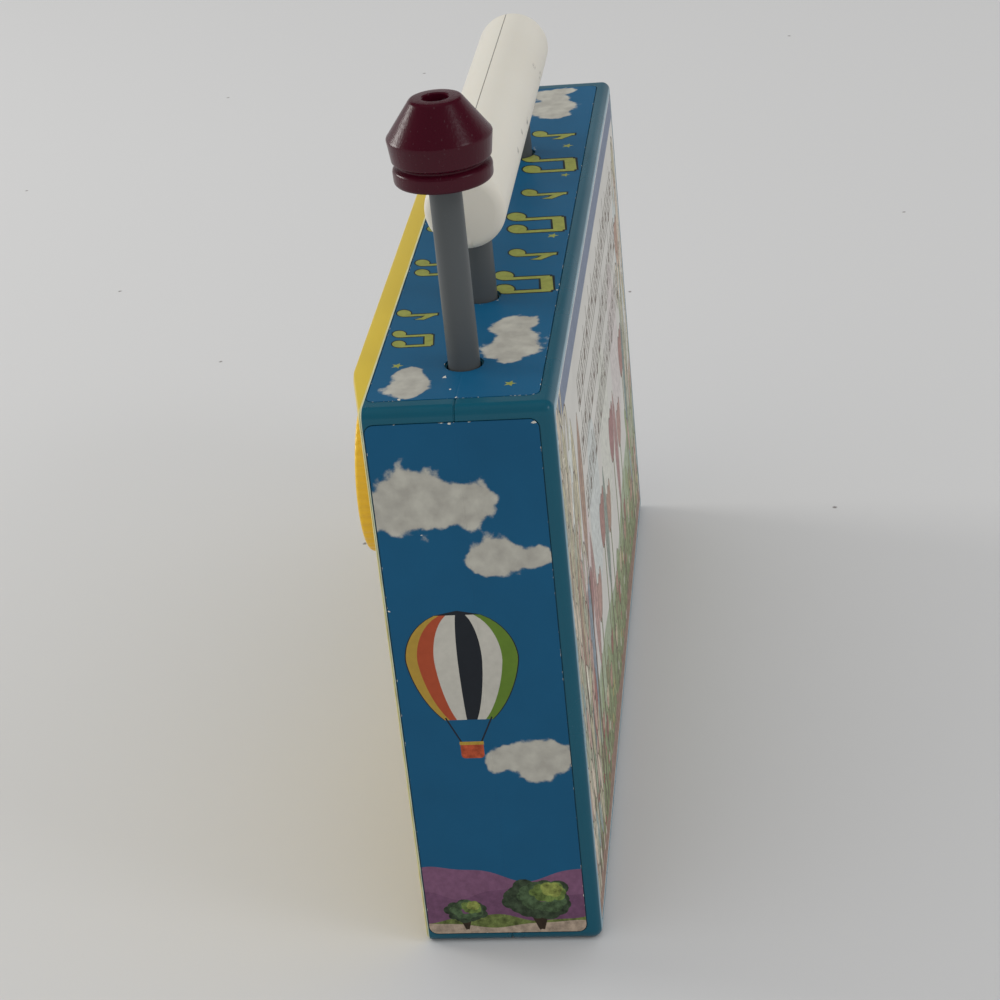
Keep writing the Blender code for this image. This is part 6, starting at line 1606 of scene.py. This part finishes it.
def on_belt(u, v, out):
    """A place on the loop, from its length along the belt and its height."""
    radius = BELT_RADIUS + out
    share = u % loop_length
    if share <= run:
        return Vector((left_x + share, BELT_Y - radius, v))
    share -= run
    arc = math.pi * BELT_RADIUS
    if share <= arc:
        turn = share / BELT_RADIUS - math.pi / 2
        return Vector((right_x + radius * math.cos(turn), BELT_Y + radius * math.sin(turn), v))
    share -= arc
    if share <= run:
        return Vector((right_x - share, BELT_Y + radius, v))
    turn = (share - run) / BELT_RADIUS + math.pi / 2
    return Vector((left_x + radius * math.cos(turn), BELT_Y + radius * math.sin(turn), v))


belt_v = (belt_low.z / MM, belt_high.z / MM)
belt_end = loop_length / MM
belt_past = (0.05, belt_end - 0.05)
belt_turn = math.tau / belt_end
horizon = belt_v[0] + 30
belt_shapes = [(disc(52.0, 104.0, 6.5, 36), "#C9A33A", 0.1)]
for crest, swing, waves, start, ink, dabbed in (
    (78.0, 5.0, 4, 0.5, PURPLE, 0.3),
    (66.0, 4.0, 6, 2.0, "#4F6B3F", 0.5),
    (55.0, 3.0, 8, 3.3, "#71864A", 0.7),
):
    wave = waves * belt_turn
    belt_shapes += hills(belt_v[0] - 1, crest, swing, wave, start, ink, *belt_past, dabbed, 120)
for u, v, size, seed in (
    (20.0, 58.0, 20.0, 96),
    (92.0, 60.0, 24.0, 97),
    (118.0, 57.0, 15.0, 98),
    (180.0, 58.0, 22.0, 99),
    (230.0, 58.0, 17.0, 100),
):
    belt_shapes += leafy_tree(u, v, size, seed)
belt_clouds = [
    (26.0, 112.0, 26.0, 13.0, 91),
    (74.0, 117.0, 20.0, 10.0, 92),
    (108.0, 104.0, 24.0, 12.0, 93),
    (190.0, 112.0, 26.0, 13.0, 94),
    (240.0, 108.0, 22.0, 11.0, 95),
]
belt_lines = []
for step in range(BEND_STEPS + 1):
    for start in (run, run + math.pi * BELT_RADIUS + run):
        at = (start + math.pi * BELT_RADIUS * step / BEND_STEPS) / MM
        if at < belt_end - 0.1:
            belt_lines.append(((at, belt_v[0]), (at, belt_v[1])))


def film_sky(_, v):
    """The ink of the belt's sky, which pales evenly toward the horizon."""
    share = min(1.0, max(0.0, (v - horizon) / (belt_v[1] - horizon)))
    return tuple(a + (b - a) * share for a, b in zip(linear(FILM_SKY_LOW)[:3], linear(FILM_SKY_HIGH)[:3]))


# Bare film: smoother than the papers, with a clearer sheen.
film_print = offset_print("printed_film", 0.35, 0.5)
far = belt_end - 0.02
belt_border = [(0.0, belt_v[0]), (far, belt_v[0]), (far, belt_v[1]), (0.0, belt_v[1])]
belt_drawing = (belt_border, [], belt_shapes, film_sky, belt_clouds, on_belt, BELT_THICKNESS, belt_lines)
sheet("film_belt", "picture_belt", "printed_paper", film_print, *belt_drawing)


# The movement
# A spring driven musical movement on a cast bedplate: pressed brass wheels, hardened steel arbors,
# a tuned steel comb, a pinned brass drum and a fan that holds its speed.
LINE_STRETCH = 12.0
BREAK_ANGLE = 40


def machined(name, colour, shade, roughness, spacing, axis, depth):
    """A cut metal: fine tool lines a set distance apart, and tarnish that dulls it in patches."""
    made, tree, shader, place = new_finish(name)
    tarnish = add(tree, "TexNoise", {"Vector": place, "Scale": 1 / (7 * MM), "Detail": 4.0})
    tones = {0: tarnish, 6: linear(colour), 7: linear(shade)}
    tone = add(tree, "Mix", tones, data_type="RGBA").outputs[2]
    squeeze = [1.0, 1.0, 1.0]
    squeeze[axis] = LINE_STRETCH
    along = add(tree, "Mapping", {"Vector": place, "Scale": squeeze})
    cuts = {"Vector": along, "Scale": 1 / (LINE_STRETCH * spacing), "Detail": 2.0}
    bump = {"Height": add(tree, "TexNoise", cuts), "Strength": 0.3, "Distance": depth}
    dull = {0: tarnish, 1: 0.3, 2: 0.7, 3: roughness, 4: roughness + 0.12}
    feed(tree, shader, {"Base Color": tone, "Roughness": add(tree, "MapRange", dull), "Metallic": 1.0})
    feed(tree, shader, {"Normal": add(tree, "Bump", bump)})
    return made


def dress(names, material, edge=0.1 * MM):
    """Gives CAD pieces their finish, and breaks their sharp edges a little."""
    for name in names:
        item = frame["nodes"][name]
        for place in item.material_slots:
            place.material = material
        weld = item.modifiers.new("weld", "WELD")
        weld.merge_threshold = 0.001 * MM
        bevel = item.modifiers.new("broken_edges", "BEVEL")
        bevel.width = edge
        bevel.segments = 2
        bevel.limit_method = "ANGLE"
        bevel.angle_limit = math.radians(BREAK_ANGLE)


# Lacquer keeps the brass golden and even, and its turning lines catch the light in thin streaks.
brass = machined("lacquered_brass", "#C9A24E", "#B48A3C", 0.26, 0.12 * MM, 2, 0.006 * MM)
# Ground steel is the palest and smoothest metal here.
bright_steel = machined("bright_steel", "#B4B4B6", "#9C9CA0", 0.24, 0.1 * MM, 1, 0.005 * MM)
# Tempering leaves spring steel darker and faintly blue.
tempered_steel = machined("tempered_steel", "#8E949E", "#70747E", 0.3, 0.15 * MM, 0, 0.006 * MM)
# Cast zinc is dull and coarse, so it shows no clear reflections.
cast_zinc = machined("cast_zinc", "#A6A6A4", "#8E8E8C", 0.46, 0.5 * MM, 0, 0.03 * MM)
# Acetal is milky white with a soft shine.
acetal = moulded("white_acetal", "#E2E1DC", "#DAD9D3", 0.36, scuff=0.3, shine=0.5, glow=0.2)
castings = ["movement_bedplate", "governor_bracket", "spring_housing"]
wheels = ["crown_wheel", "music_drum", "drum_pinion", "drum_wheel", "feed_pinion", "intermediate_wheel"]
screws = [f"bedplate_screw_{n}" for n in range(1, 5)]
screws += ["comb_screw_1", "comb_screw_2", "bracket_screw_1", "bracket_screw_2"]
arbors = ["winding_arbor", "arbor_clip", "ratchet_wheel", "click", "intermediate_arbor"]
arbors += ["governor_spindle", "transfer_stud", "antenna_stop_collar"]
dress(castings, cast_zinc, 0.2 * MM)
dress(wheels, brass)
dress(screws + arbors, bright_steel)
dress(["tuned_comb", "mainspring"], tempered_steel, 0.05 * MM)
dress(["transfer_gear", "roller_gear", "belt_roller_right", "belt_roller_left"], acetal)
dress(["governor_fan"], grey_plastic)
